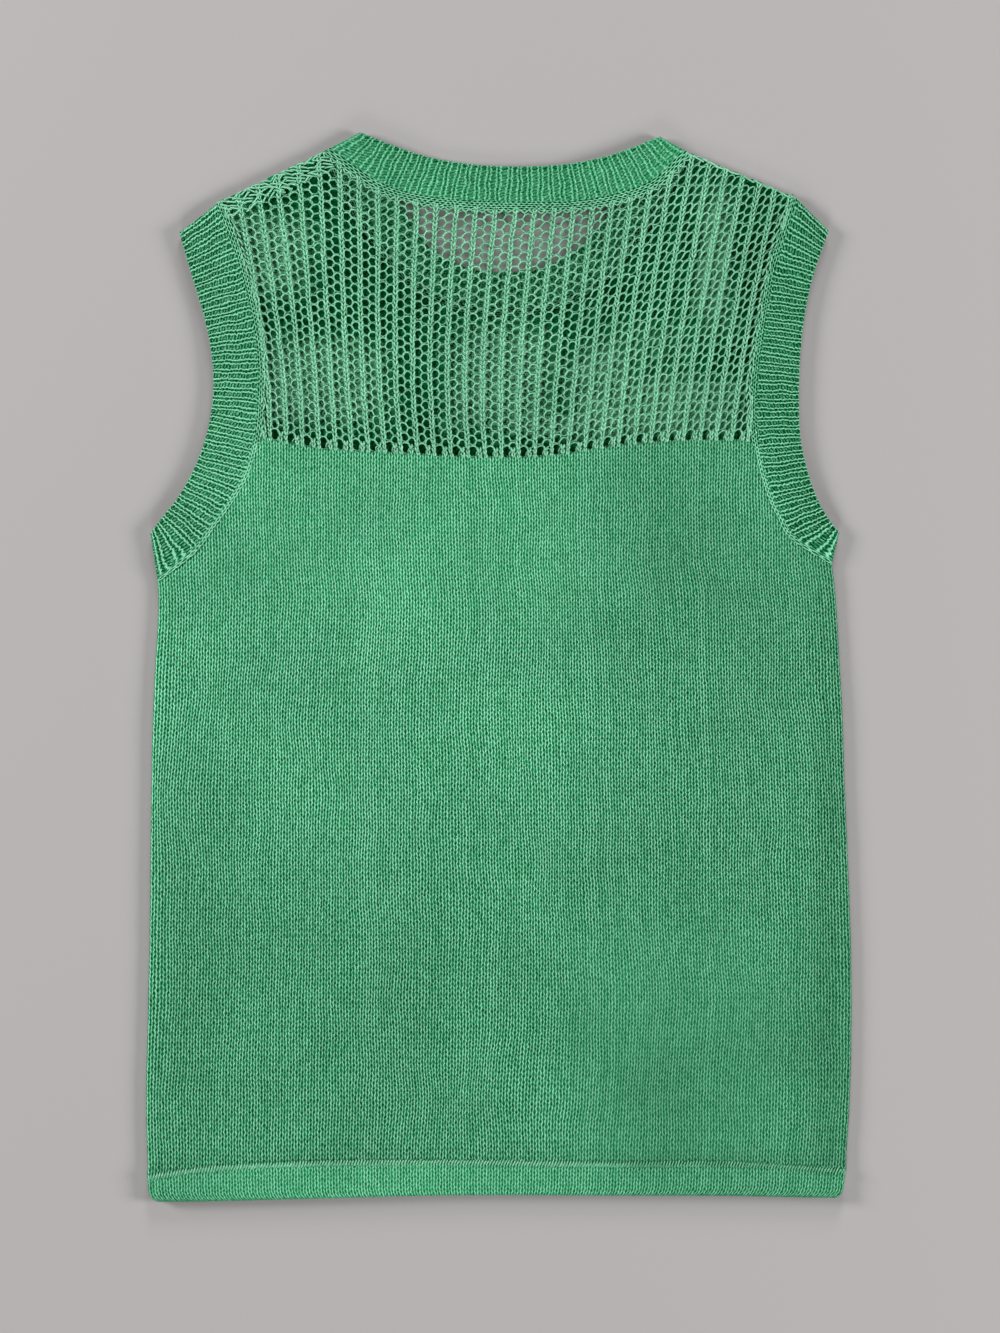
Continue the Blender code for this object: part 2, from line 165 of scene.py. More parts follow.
# How wide the linking chains are.
NECK_LINKED = 4
ARMHOLE_LINKED = 2.8

# Ribs of the openwork: index, then how far across each one stands at the four heights of RIB_HEIGHTS.
RIB_HEIGHTS = (471, 542, 604, 655)
NET_RIBS = (
    (-2, -152, -158.5, -170.5, -181),
    (-1, -142, -147.9, -158.4, -167.5),
    (0, -132.1, -137.3, -146.2, -153.5),
    (3, -101.7, -106.4, -109.6, -112.5),
    (7, -61.4, -64.5, -63.6, -63.5),
    (12, -9.3, -8.8, -3.3, 1.5),
    (17, 43.4, 49.8, 56.6, 63),
    (22, 94.2, 102.6, 112.2, 121),
    (26, 134.5, 144.4, 156, 166.5),
    (28, 154.4, 164.4, 177, 188.5),
    (29, 164.4, 174.6, 187.8, 199.5),
)

FIRST_GAP = -2
LAST_GAP = 28

# How far the bunched stitches reach below the left and the right shoulder, and their rows and swing.
SHOULDER_STRIPS = (10, 2)
SHOULDER_ROWS = {-1: (5, -1.3), 1: (1, 0.3)}

# The openwork's share that isn't openings, half its yarn's thickness, and how many gaps it is moved along.
NET_SOLID_SHARE = {True: 0.55, False: 0.92}
NET_YARN = {True: 0.44, False: 1.65}
NET_SHIFT = {True: 0, False: 0.33}

# How wide the stitches of the openwork's ribs are, and half the thickness of their yarn.
NET_RIB_SPREAD = {True: 0.92, False: 0.78}
NET_RIB_YARN = {True: 0.50, False: 0.47}

# How much smaller the front's relaxed openings are, and how far it rises where it lies close under the back.
FRONT_OPENING = 0.79
CLOSE_RISE = 1.3

# Where the front lies close under the back and gets painted light, seen through it; columns as in the upper
# cloth's painted light and shade patches.
CLOSE_PATCHES = (
    (-150, 588, 36, 26, 0, 0.80),
    (-112, 508, 44, 27, 0, 0.90),
    (0, 512, 34, 34, 0, 0.80),
    (62, 505, 18, 26, 0, 0.70),
    (133, 585, 11, 44, 0, 0.80),
    (112, 492, 42, 18, 0, 0.70),
    (92, 528, 30, 20, 0, 0.30),
    (40, 480, 34, 7, 0, 0.60),
)

# How much the openwork's rows climb across a gap between two ribs: across, climb.
NET_SHEAR = ((-180, 0.10), (-90, 0), (-20, 0.04), (40, 0.24), (90, 0.42), (190, 0.38))

# One opening of the openwork as a loop of yarn: across and up from its middle, for an opening beside the rib
# on its left. The loop's right point reaches between two openings of the next column.
LOOP_TIP = (2.30, 0)
LOOP_TOP = ((1.92, 1.14), (1.28, 2.06), (0.30, 2.66), (-1.05, 2.70), (-2.15, 2.10), (-2.50, 0.80))
NET_LOOP = np.array([LOOP_TIP, *LOOP_TOP, *((x, -y) for x, y in LOOP_TOP[::-1])])



def xy(points):
    return points[..., 0], points[..., 1]


def pair(x, y):
    return np.stack([x, y], axis=-1)


def all_pairs(firsts, seconds):
    """Each of the first values with each of the second ones, as two flat arrays."""
    return [values.ravel() for values in np.meshgrid(firsts, seconds, indexing="ij")]


def column(table, index):
    return np.array([row[index] for row in table], float)


def smooth(knots, values, at):
    """A smooth curve through the values at the knots."""
    at = np.clip(np.asarray(at, float), knots[0], knots[-1])
    slopes = np.gradient(values, knots)
    left = np.clip(np.searchsorted(knots, at, side="right") - 1, 0, len(knots) - 2)
    span = knots[left + 1] - knots[left]
    t = (at - knots[left]) / span
    climb = values[left + 1] - values[left]
    bend = (slopes[left] * span - climb) * (1 - t) - (slopes[left + 1] * span - climb) * t
    return values[left] + t * climb + t * (1 - t) * bend


def table_curve(table, index, at):
    return smooth(column(table, 0), column(table, index), at)


def rise(value, start, reach):
    """A soft step from 0 at the start to 1 a reach on, or a reach down if it is below 0."""
    share = np.clip((value - start) / reach, 0, 1)
    return share * share * (3 - 2 * share)


def off_ends(share, reach):
    """0 at both ends of a share from 0 to 1, and 1 away from them."""
    return rise(np.minimum(share, 1 - share), 0, reach)


def bell(value, middle, reach):
    """1 at the middle, dying out on both sides."""
    return np.exp(-(((value - middle) / reach) ** 2))


def patches(points, table, power=2):
    """The sum of a table's soft patches at the points."""
    x, y = xy(points)
    total = np.zeros(x.shape)
    for across, height, half_width, half_height, lean, amount in table:
        up = y - height
        out = (x - across - lean * up) / half_width
        total += amount * np.exp(-(out**power) - (up / half_height) ** power)
    return total


def soft_noise(points, size, seed):
    """Smooth noise from -1 to 1 whose spots are about that size."""
    cells = 95
    grid = np.random.default_rng(seed).uniform(-1, 1, (cells + 1, cells + 1))
    x, y = xy(points / size + (40, 20))
    i, j = np.floor(x).astype(int), np.floor(y).astype(int)
    s, t = rise(x, i, 1), rise(y, j, 1)
    i, j = i % cells, j % cells
    low = grid[i, j] * (1 - s) + grid[i + 1, j] * s
    high = grid[i, j + 1] * (1 - s) + grid[i + 1, j + 1] * s
    return low * (1 - t) + high * t


def side_reach(height, side):
    return side * table_curve(SIDES, 1 if side < 0 else 2, height)


# The curves of HEM and YOKE_FOOT, each from the place across.
hem_edge, hem_line = partial(table_curve, HEM, 1), partial(table_curve, HEM, 2)
yoke_foot = partial(table_curve, YOKE_FOOT, 1)


class Band:
    """The two long edges of a band, read at places from 0 at its first row to 1 at its last."""

    def __init__(self, table):
        steps = np.hypot(np.diff(column(table, 0)), np.diff(column(table, 1)))
        self.knots = np.concatenate([[0], np.cumsum(steps)]) / steps.sum()
        self.foot = self.knots[FOOT_ROW]
        self.edge, self.seam = partial(self.read, table, 0), partial(self.read, table, 2)

    def read(self, table, first, place):
        return pair(*[smooth(self.knots, column(table, first + k), place) for k in (0, 1)])


NECKS = {True: Band(BACK_NECK), False: Band(FRONT_NECK)}
ARMHOLES = {-1: Band(ARMHOLE_LEFT), 1: Band(ARMHOLE_RIGHT)}


def nearest_on(points, line):
    """Each point's distance to a line of straight steps, and the nearest place on it."""
    nearest, foot = np.full(points.shape[:-1], np.inf), np.zeros(points.shape)
    for start, stop in zip(line[:-1], line[1:]):
        along = stop - start
        share = np.clip(((points - start) @ along) / max(along @ along, TINY), 0, 1)
        here = start + share[..., None] * along
        gap = np.hypot(*np.moveaxis(points - here, -1, 0))
        closer = gap < nearest
        nearest[closer], foot[closer] = gap[closer], here[closer]
    return nearest, foot


def fold_lines():
    """The left side and shoulder, then the right ones, each as its points and the way inwards."""
    lines = []
    neck = NECKS[True]
    for side, band in ARMHOLES.items():
        heights = np.linspace(SIDES[0][0], band.seam(1)[1], CURVE_STEPS)
        flank = np.concatenate([pair(side_reach(heights, side), heights), [band.seam(1), band.edge(1)]])
        lines.append((flank, np.array([-side, 0])))
        end = (1 + side) / 2
        shoulder = np.array([neck.edge(end), neck.seam(end), band.seam(0), band.edge(0)])
        fall = shoulder[-1] - shoulder[0]
        inward = np.array([-fall[1], fall[0]]) * -side
        lines.append((shoulder, inward / np.hypot(*inward)))
    return lines


FOLD_LINES = fold_lines()
SHOULDERS = {-1: FOLD_LINES[1][0], 1: FOLD_LINES[3][0]}


def fold_turn(points):
    """How far the cloth has turned round a fold, up to 1 on it, and the way inwards."""
    turn, inward = np.zeros(points.shape[:-1]), np.zeros(points.shape)
    for line, direction in FOLD_LINES:
        here = np.clip(1 - nearest_on(points, line)[0] / FOLD_REACH, 0, 1)
        inward[here > turn] = direction
        turn = np.maximum(turn, here)
    return turn, inward


def swell(points):
    """The upper cloth's soft swells, which die out at the folds and the hem."""
    x, y = xy(points)
    kept = rise(np.abs(x), HALF_WIDTH, -SWELL_FADE)
    return patches(points, SWELLS) * kept * rise(y, hem_line(x), SWELL_FADE)


def neck_dip(points):
    """How far the back sinks inside the front's neckline."""
    x, y = xy(points)
    neck = NECKS[False].edge(np.linspace(0, 1, CURVE_STEPS))
    inside = (y > np.interp(x, *neck.T)) & (x > neck[0, 0]) & (x < neck[-1, 0])
    return DIP_DEPTH * rise(np.where(inside, nearest_on(points, neck)[0], 0), DIP_START, DIP_RAMP)


def underside(points, is_back, wall):
    """The level of a layer's lower face."""
    x, y = xy(points)
    if not is_back:
        return np.zeros(x.shape)
    base = max(wall, BAND_WALL)
    over_hem = rise(y, hem_line(x) + HEM_RAMP, -HEM_RAMP)
    return base + LAYER_GAP + (HEM_WALL - base) * over_hem + swell(points) - neck_dip(points)


def free_edge(away, wall):
    """How far a face draws in near a free edge."""
    return wall * EDGE_SHARE * (1 - np.sqrt(1 - np.clip(1 - away / EDGE_REACH, 0, 1) ** 2))


def seam_level(wall, is_back):
    return wall + LAYER_GAP / 2 + (SEAM_GAP / 2 if is_back else -SEAM_GAP / 2)


def two_faces(points, wall, is_back, away=None, ends=None):
    """The outer and inner faces of a wall of cloth over XY points, and the outer one's normals."""
    turn, inward = fold_turn(points)
    if ends is not None:
        half = len(points) // 2
        inward[:half], inward[half:] = ends
    flat = np.sqrt(1 - turn**2)
    draw = free_edge(away, wall) if away is not None else 0
    middle = seam_level(wall, is_back)
    low = underside(points, is_back, wall)
    if is_back:
        far, near, sign = low + wall - draw, low + draw, 1
    else:
        far, near, sign = low + draw, low + wall - draw, -1
    outer = np.dstack([points, middle + (far - middle) * flat])
    inner = np.dstack([points + inward * (turn * wall)[..., None], middle + (near - middle) * flat])
    steep = sign * flat / np.maximum(np.abs(far - middle), 1)
    out = np.dstack([-inward * (turn / FOLD_REACH)[..., None], steep])
    return outer, inner, out / np.linalg.norm(out, axis=-1, keepdims=True)


def lay(points, up, is_back, wall=JERSEY_WALL):
    """Puts XY points at a level above the layer's lower face, and down round the folds."""
    turn, _ = fold_turn(points)
    middle = seam_level(wall, is_back)
    level = middle + (underside(points, is_back, wall) + up - middle) * np.sqrt(1 - turn**2)
    return np.dstack([points, level])


def stitch_level(up, is_back, wall, radius):
    """A stitch's level above the layer's lower face, which the front's never pass."""
    return up if is_back else np.maximum(wall - up, radius)


# Meshes


Parts = namedtuple("Parts", "points quads tris quad_uv tri_uv knit shade count", defaults=[1])


def link(name, data):
    """Puts an object into the scene."""
    obj = bpy.data.objects.new(name, data)
    bpy.context.scene.collection.objects.link(obj)
    return obj


def fill(data, key, values, kind=np.float32):
    data.foreach_set(key, values.astype(kind).ravel())


def add_piece(name, parts, mat):
    """Makes an object in metres, with Y from the middle of the garment."""
    quads, tris = parts.quads, parts.tris
    starts = np.concatenate([np.arange(len(quads)) * 4, quads.size + np.arange(len(tris)) * 3])
    mesh = bpy.data.meshes.new(name)
    mesh.vertices.add(len(parts.points))
    fill(mesh.vertices, "co", (parts.points - (0, HEM_TO_MIDDLE, 0)) * MM)
    mesh.loops.add(quads.size + tris.size)
    fill(mesh.loops, "vertex_index", np.concatenate([quads.ravel(), tris.ravel()]), np.int32)
    mesh.polygons.add(len(starts))
    fill(mesh.polygons, "loop_start", starts, np.int32)
    mesh.update(calc_edges=True)
    fill(mesh.attributes.new("knit", "FLOAT_VECTOR", "POINT").data, "vector", parts.knit)
    fill(mesh.attributes.new("shade", "FLOAT", "POINT").data, "value", parts.shade)
    uv = np.concatenate([parts.quad_uv.ravel(), parts.tri_uv.ravel()])
    fill(mesh.uv_layers.new(name="OFBake").uv, "vector", uv)
    mesh.shade_smooth()
    mesh.materials.append(mat)
    return link(name, mesh)


def grid_quads(ids):
    """The faces of a grid of points, or of each of many grids."""
    low, high = ids[..., :-1, :], ids[..., 1:, :]
    return np.stack([low[..., :-1], low[..., 1:], high[..., 1:], high[..., :-1]], axis=-1).reshape(-1, 4)


def border_of(ids):
    """The points round the border of a grid, low row first, against the clock."""
    return np.concatenate([ids[0], ids[1:, -1], ids[-1, -2::-1], ids[-2:0:-1, 0]])


def picks(count, steps):
    """About evenly spaced places from 0 to the last of that count."""
    return sorted({round(k * (count - 1) / steps) for k in range(steps + 1)})


def shell(fine, coarse, row_picks, column_picks, knit, shade):
    """A closed wall of cloth: a fine face, and the picked rows and columns of the face opposite."""
    rows, columns = fine.shape[:2]
    picked = np.ix_(row_picks, column_picks)
    fine, coarse = fine.reshape(-1, 3), coarse[picked].reshape(-1, 3)
    points = np.concatenate([fine, coarse])
    fine_ids = np.arange(len(fine)).reshape(rows, columns)
    coarse_ids = np.arange(len(fine), len(points)).reshape(len(row_picks), -1)
    quads = np.concatenate([grid_quads(fine_ids), grid_quads(coarse_ids)[:, ::-1]])
    ring, posts = border_of(fine_ids), border_of(coarse_ids)
    at_posts = [int(np.argmax(ring == place)) for place in border_of(fine_ids[picked])]
    tris = []
    for first, second, start, stop in zip(posts, np.roll(posts, -1), at_posts, at_posts[1:] + [len(ring)]):
        half = (start + stop) // 2
        for k in range(start, stop):
            tris.append((ring[(k + 1) % len(ring)], ring[k], first if k < half else second))
        tris.append((ring[half], first, second))
    tris = np.array(tris)
    place = np.stack(np.meshgrid(np.linspace(0, 1, columns), np.linspace(0, 1, rows)), -1)
    fine_uv = place * (0.96, 0.76) + 0.02
    coarse_uv = place[picked] * (0.96, 0.14) + (0.02, 0.84)
    rim_uv = fine_uv[picked] + (fine_uv[picked] - (0.5, 0.4)) * 0.012
    fine_uv, coarse_uv, rim_uv = (uv.reshape(-1, 2) for uv in (fine_uv, coarse_uv, rim_uv))
    quad_uv, tri_uv = np.concatenate([fine_uv, coarse_uv])[quads], np.concatenate([fine_uv, rim_uv])[tris]
    a, b, d = points[quads[(rows // 2) * (columns - 1) + columns // 2]][[0, 1, 3]]
    opposite = coarse[np.argmin(np.linalg.norm(coarse[:, :2] - a[:2], axis=1))]
    if np.cross(b - a, d - a)[2] * (a[2] - opposite[2]) < 0:
        quads, quad_uv, tris, tri_uv = (each[:, ::-1] for each in (quads, quad_uv, tris, tri_uv))
    knit = np.concatenate([knit.reshape(-1, 3), knit[picked].reshape(-1, 3)])
    shade = np.concatenate([shade.ravel(), np.full(len(coarse), 0.5)])
    return Parts(points, quads, tris, quad_uv, tri_uv, knit, shade)


def tubes(paths, radius, sides, is_back, closed=False, height=1, painted_light=0):
    """Yarn along many paths at once, with painted light and shade: the back's yarn is painted lighter on top
    and darker below, the front's upper side is painted dark for the shade between the layers, and painted
    light lightens either.
    """
    count, steps = paths.shape[:2]
    ahead, behind = np.roll(paths, -1, axis=1), np.roll(paths, 1, axis=1)
    if not closed:
        ahead[:, -1], behind[:, 0] = paths[:, -1], paths[:, 0]
    along = ahead - behind
    along /= np.maximum(np.linalg.norm(along, axis=-1, keepdims=True), TINY)
    beside = np.cross((0, 0, 1), along)
    beside /= np.maximum(np.linalg.norm(beside, axis=-1, keepdims=True), 0.05)
    top = np.cross(along, beside)
    turn = np.arange(sides) / sides * TURN + np.pi / 2
    radius = np.broadcast_to(radius, (count, steps))[..., None, None]
    ring = np.cos(turn)[:, None] * beside[:, :, None] + height * np.sin(turn)[:, None] * top[:, :, None]
    points = (paths[:, :, None] + radius * ring).reshape(-1, 3)
    ids = np.arange(len(points)).reshape(count, steps, sides)
    wrapped = np.concatenate([ids, ids[:, :1]], axis=1) if closed else ids
    wrapped = np.concatenate([wrapped, wrapped[..., :1]], axis=2)
    lanes = np.arange(wrapped[0].size).reshape(wrapped.shape[1:])
    place = pair(*np.indices(lanes.shape)) / np.subtract(lanes.shape, 1) * 0.9 + 0.02
    against = [0, 3, 2, 1]
    quad_uv = place.reshape(-1, 2)[grid_quads(lanes)[:, against]]
    fan = np.array([(0, k, k + 1) for k in range(1, sides - 1) if not closed], int).reshape(-1, 3)
    caps = np.concatenate([ids[:, 0][:, fan], ids[:, -1][:, fan[:, [0, 2, 1]]]], axis=1)
    tris = caps.swapaxes(0, 1).reshape(-1, 3)
    run = np.linalg.norm(np.diff(paths, axis=1, prepend=paths[:, :1]), axis=-1).cumsum(axis=1)
    knit = knit_of(run[..., None], np.arange(sides) / sides, np.arange(count)[:, None, None])
    painted_light = np.broadcast_to(painted_light, (count,))[:, None, None]
    # Painted light: the back's yarn lighter on top and darker below, the front's upper side painted dark as
    # the shade between the layers.
    up = np.sin(turn)
    shade = np.clip(0.5 + 0.5 * up + painted_light if is_back else np.where(up > -0.1, painted_light - 0.1, -up), -0.12, 1)
    quad_uv = np.tile(quad_uv, (count, 1, 1))
    tri_uv = np.broadcast_to([(0.94, 0.94), (0.98, 0.94), (0.98, 0.98)], (len(tris), 3, 2))
    knit, shade = knit.reshape(-1, 3), np.broadcast_to(shade, ids.shape).ravel()
    return Parts(points, grid_quads(wrapped)[:, against], tris, quad_uv, tri_uv, knit, shade, count)


def join(tube_sets):
    """Several sets of tubes as one, with every tube in a square of its own on the map."""
    side = int(np.ceil(np.sqrt(sum(part.count for part in tube_sets))))
    joined = []
    first_point = first_tube = 0
    for part in tube_sets:
        quad_tubes = np.repeat(np.arange(part.count), len(part.quads) // part.count)
        tri_tubes = np.arange(len(part.tris)) % part.count
        uvs = []
        for uv, tube in ((part.quad_uv, quad_tubes + first_tube), (part.tri_uv, tri_tubes + first_tube)):
            uvs.append((uv + pair(tube % side, tube // side)[:, None]) / side)
        quads, tris = part.quads + first_point, part.tris + first_point
        joined.append((part.points, quads, tris, *uvs, part.knit + (0, 0, first_tube), part.shade))
        first_point += len(part.points)
        first_tube += part.count
    return Parts(*(np.concatenate(each) for each in zip(*joined)))


def knit_of(wale, course, third=0):
    """What the materials read at each point: its place in stitches, and a third value."""
    return np.stack(np.broadcast_arrays(wale, course, third), axis=-1)


# Materials


class Value:
    """A number or vector that a material works out. Sums of them add Math nodes."""

    def __init__(self, graph, socket):
        self.graph, self.socket = graph, socket

    def __add__(self, other):
        return self.graph.math("ADD", self, other)

    def __sub__(self, other):
        return self.graph.math("SUBTRACT", self, other)

    def __rsub__(self, other):
        return self.graph.math("SUBTRACT", other, self)

    def __mul__(self, other):
        return self.graph.math("MULTIPLY", self, other)

    def __truediv__(self, other):
        return self.graph.math("DIVIDE", self, other)

    def clamp(self):
        self.socket.node.use_clamp = True
        return self


class Graph:
    """Adds nodes to a material, with a plain value or a Value for each input."""

    def __init__(self, name):
        self.mat = bpy.data.materials.new(name)
        self.mat.use_nodes = True
        self.tree = self.mat.node_tree
        self.knit = self.node("Attribute", out="Vector", attribute_name="knit")
        self.shade = self.node("Attribute", out="Fac", attribute_name="shade")

    def node(self, kind, inputs=(), out=0, **settings):
        made = self.tree.nodes.new("ShaderNode" + kind)
        for key, value in settings.items():
            setattr(made, key, value)
        self.put(made, dict(inputs))
        return Value(self, made.outputs[out])

    def put(self, node, inputs):
        for slot, value in inputs.items():
            if isinstance(value, Value):
                self.tree.links.new(value.socket, node.inputs[slot])
            else:
                node.inputs[slot].default_value = value

    def math(self, operation, *values):
        return self.node("Math", dict(enumerate(values)), operation=operation)

    def wave(self, operation, turns):
        return self.math(operation, turns * TURN)

    def split(self, vector):
        made = self.node("SeparateXYZ", {0: vector}).socket.node
        return [Value(self, output) for output in made.outputs]

    def noise(self, place, scale, detail=0, roughness=0.5, out="Fac"):
        inputs = {"Vector": place, "Scale": scale, "Detail": detail, "Roughness": roughness}
        return self.node("TexNoise", inputs, out)

    def luck(self, number):
        return self.node("TexWhiteNoise", {"W": number}, noise_dimensions="1D")

    def step(self, value, low, high, out_low=0, out_high=1):
        inputs = {"Value": value, "From Min": low, "From Max": high, "To Min": out_low, "To Max": out_high}
        return self.node("MapRange", inputs, interpolation_type="SMOOTHSTEP")

    def beside(self, value):
        """How far a value is from the middle between two whole numbers."""
        return self.math("ABSOLUTE", self.math("FRACT", value) - 0.5)

    def round_top(self, beside, middle, half):
        """The height of a round yarn: 1 over its middle and 0 from half its width on."""
        off = (beside - middle) / half
        return self.math("SQRT", (1 - off * off).clamp())

    def ramp(self, value, places, colours):
        made = self.node("ValToRGB", {"Fac": value}, "Color")
        elements = made.socket.node.color_ramp.elements
        for place in places[1:-1]:
            elements.new(place)
        for element, place, colour in zip(elements, places, colours):
            element.position, element.color = place, (*colour, 1)
        return made


# Greens from the painted shade in the gaps between stitches to the painted highlight on their crests, in the
# knit and in the openwork's yarn.
GREEN_STOPS = (0, 0.25, 0.5, 1)
KNIT_GREENS = ((0, 0.060, 0.012), (0.006, 0.180, 0.061), (0.038, 0.308, 0.127), (0.282, 0.716, 0.470))
NET_GREENS = ((0, 0.060, 0.012), (0.002, 0.230, 0.075), (0.080, 0.400, 0.190), (0.350, 0.815, 0.545))
COTTON = {
    "Roughness": 0.95,
    "Specular IOR Level": 0.03,
    "Sheen Weight": 0.03,
    "Sheen Roughness": 0.6,
    "Sheen Tint": (0.25, 1, 0.50, 1),
}

# The shade that the jersey's nap fades its stitches to.
NAP_SHADE = 0.65


def yarn_finish(graph, shade, height, depth, greens=KNIT_GREENS, painted_light_gain=None):
    """Matte cotton: a colour from the painted shade of gaps to the painted highlight of crests, scaled where
    given by the mesh's painted light and shade, with flecks, clouds, fine fibres and the bump.
    """
    place = graph.node("TexCoord", out="Object")
    fleck = graph.noise(place, 900, 3, 0.7)
    cloud = graph.step(graph.noise(place, 14, 2), 0.3, 0.7, 0.94, 1.06)
    bright = graph.step(fleck, 0.25, 0.75, 0.86, 1.14) * cloud
    # Painted light and shade from the mesh scales the colour.
    if painted_light_gain is not None:
        bright = bright * painted_light_gain
    green = graph.ramp(shade, GREEN_STOPS, greens)
    colour = graph.node("VectorMath", {0: green, "Scale": bright}, operation="SCALE")
    bump = graph.node("Bump", {"Height": fleck * 0.22 + height, "Strength": 1, "Distance": depth})
    shader = graph.tree.nodes["Principled BSDF"]
    graph.put(shader, dict(COTTON, **{"Base Color": colour, "Normal": bump}))
    return graph.mat


def jersey_material():
    """Plain knit with painted shade in the gaps and painted highlights on the legs. The mesh counts wales and
    courses, says how much contrast the nap hides and carries painted light and shade.
    """
    graph = Graph("jersey_knit")
    across, up, nap = graph.split(graph.knit)
    sway = graph.split(graph.noise(graph.knit, 0.9, 1, out="Color"))
    wale = (sway[0] - 0.5) * 0.30 + across
    course = (sway[1] - 0.5) * 0.70 + up
    legs = graph.round_top(graph.beside(wale), graph.wave("SINE", course) * 0.058 + 0.25, 0.152)
    relief = legs * (graph.wave("COSINE", course) * 0.13 + 0.89)
    leg = graph.math("FLOOR", wale * 2)
    stitch = graph.node("CombineXYZ", {0: leg, 1: graph.math("FLOOR", course)})
    stitch_luck = graph.node("TexWhiteNoise", {"Vector": stitch}, noise_dimensions="3D")
    gain = (stitch_luck * 0.30 + 0.86) * (graph.luck(leg) * 0.16 + 0.92)
    # Painted shade in the dark dots between the legs, shallower in random places.
    gaps = graph.step(graph.noise(graph.knit, 1.2), 0.36, 0.64, 0.00, 0.22)
    shade = (graph.math("MAXIMUM", relief, gaps) * gain).clamp()
    shade = (NAP_SHADE - shade) * nap + shade
    return yarn_finish(graph, shade, relief, 0.0006, painted_light_gain=graph.shade * 0.95 + 0.57)


def rib_material(name, crest, groove, gutter, hatching):
    """One-by-one rib and the chains that link it on, from how light its legs are painted and how much painted
    shade lies in its sunk wales.

    The mesh counts ribs and courses and says how far in the chains it is.
    """
    graph = Graph(name)
    across, up, linked = graph.split(graph.knit)
    sway = graph.split(graph.noise(graph.knit, 1.7, 1, out="Color"))
    rib = (sway[0] - 0.5) * 0.24 + across
    course = (sway[1] - 0.5) * 0.9 + up
    beside = graph.beside(rib)
    bead = graph.wave("COSINE", course)
    leg = graph.round_top(beside, bead * 0.040 + LEG_AT, 0.095) * (bead * 0.12 + crest)
    hatch = graph.wave("COSINE", rib * 1.3 + course * 1.55) * hatching
    ribbed = graph.math("MAXIMUM", leg, hatch + graph.step(beside, 0.28, 0.43, groove, gutter))
    aside = graph.beside(sway[1] * 0.3 + linked / LINK_ROW)
    chain = graph.round_top(aside, graph.wave("SINE", rib * 2.2) * 0.10 + 0.25, 0.15)
    inside = graph.step(linked, 0, 0.8)
    relief = chain * inside + ribbed * (1 - inside)
    gain = graph.noise(graph.knit, 2.6) * 0.9 + 0.52
    shade = (relief * gain + (graph.shade - 0.5)).clamp()
    return yarn_finish(graph, shade, relief, 0.0005)


def yarn_material(name):
    """Two plies wound round each other, with painted shade between them and the mesh's painted light and
    shade. The mesh says how far along and round which tube it is.
    """
    graph = Graph(name)
    run, turn, tube = graph.split(graph.knit)
    ply = graph.math("ABSOLUTE", graph.wave("SINE", run * 0.62 + turn))
    shade = (graph.shade * 0.86 + 0.11) * (ply * 0.25 + 0.85) * (graph.luck(tube) * 0.25 + 0.88)
    return yarn_finish(graph, shade.clamp(), ply, 0.00022, NET_GREENS)


# Jersey: hem and body

# Steps of a wale, and rows of the body and of the hem above its corners.
WALE_STEPS = {True: 4, False: 2}
BODY_ROWS = {True: 150, False: 46}
HEM_ROWS = {True: 16, False: 8}

# Distances from a free edge at which the mesh turns round it.
EDGE_STEPS = (0, 0.15, 0.4, 0.8, EDGE_REACH)


def side_at(height, side):
    return side_reach(np.minimum(height, ARMHOLES[side].seam(1)[1]), side)


def across_at(share, height):
    left, right = side_at(height, -1), side_at(height, 1)
    return left + share * (right - left)


def body_tops(shares, is_back):
    """Where each wale of the body ends: at the foot of the yoke or at an armhole's seam."""
    across = across_at(shares, BODY_TOP)
    tops = yoke_foot(across) + foot_scallop(across, is_back)
    for side, band in ARMHOLES.items():
        x, y = xy(band.seam(np.linspace(band.foot, 1, 200)))
        seam_share = (x - side_at(y, -1)) / (side_at(y, 1) - side_at(y, -1))
        order = np.argsort(seam_share)
        at_seam = np.interp(shares, seam_share[order], y[order])
        beyond = shares <= seam_share.max() if side < 0 else shares >= seam_share.min()
        tops = np.where(beyond, np.minimum(at_seam, tops), tops)
    return tops


def foot_scallop(across, is_back):
    """How far the body's upper edge climbs up the openwork's ribs between its lowest openings."""
    indices = np.linspace(FIRST_GAP, LAST_GAP + 1, 400)
    index = np.interp(across, rib_across(indices, RIB_HEIGHTS[0]), indices)
    phase = (index - NET_SHIFT[is_back]) % 1
    return 2.2 * bell(np.minimum(phase, 1 - phase), 0, 0.15) + 1.6 * bell(phase, RIGHT_COLUMN, 0.14) + 0.1


def course_of(height):
    """How many courses lie below a height."""
    up = height - HEM_RAMP
    return up / COURSE_LOW + 0.5 * (1 / COURSE_HIGH - 1 / COURSE_LOW) * up**2 / (BODY_TOP - HEM_RAMP)


def body_grid(is_back):
    """XY points of the body along its wales, with each point's wale."""
    shares = np.linspace(0, 1, WALES * WALE_STEPS[is_back] + 1)
    low = hem_line(across_at(shares, HEM_RAMP)) - HEM_LAP
    climb = np.linspace(0, 1, BODY_ROWS[is_back])[:, None]
    heights = low + climb * (body_tops(shares, is_back) - low)
    points = pair(across_at(shares, heights), heights)
    drift = 0.75 * soft_noise(points, 21, 3) + 1.6 * soft_noise(points, 62, 4)
    points[..., 0] += off_ends(climb, 0.08) * off_ends(shares, 0.03) * drift
    return points, shares * WALES + 0 * heights


def wale_lift(wale, course, seed):
    """The relief of the wales: two legs each, no two quite alike."""
    legs = np.abs(np.sin(TURN * np.abs(wale % 1 - 0.5)))
    table = np.random.default_rng(seed).uniform(-1, 1, (512, 512))
    luck = table[np.floor(wale * 2).astype(int) % 512, np.floor(course).astype(int) % 512]
    return 0.20 * (legs - 1) + 0.10 * luck * legs + 0.10


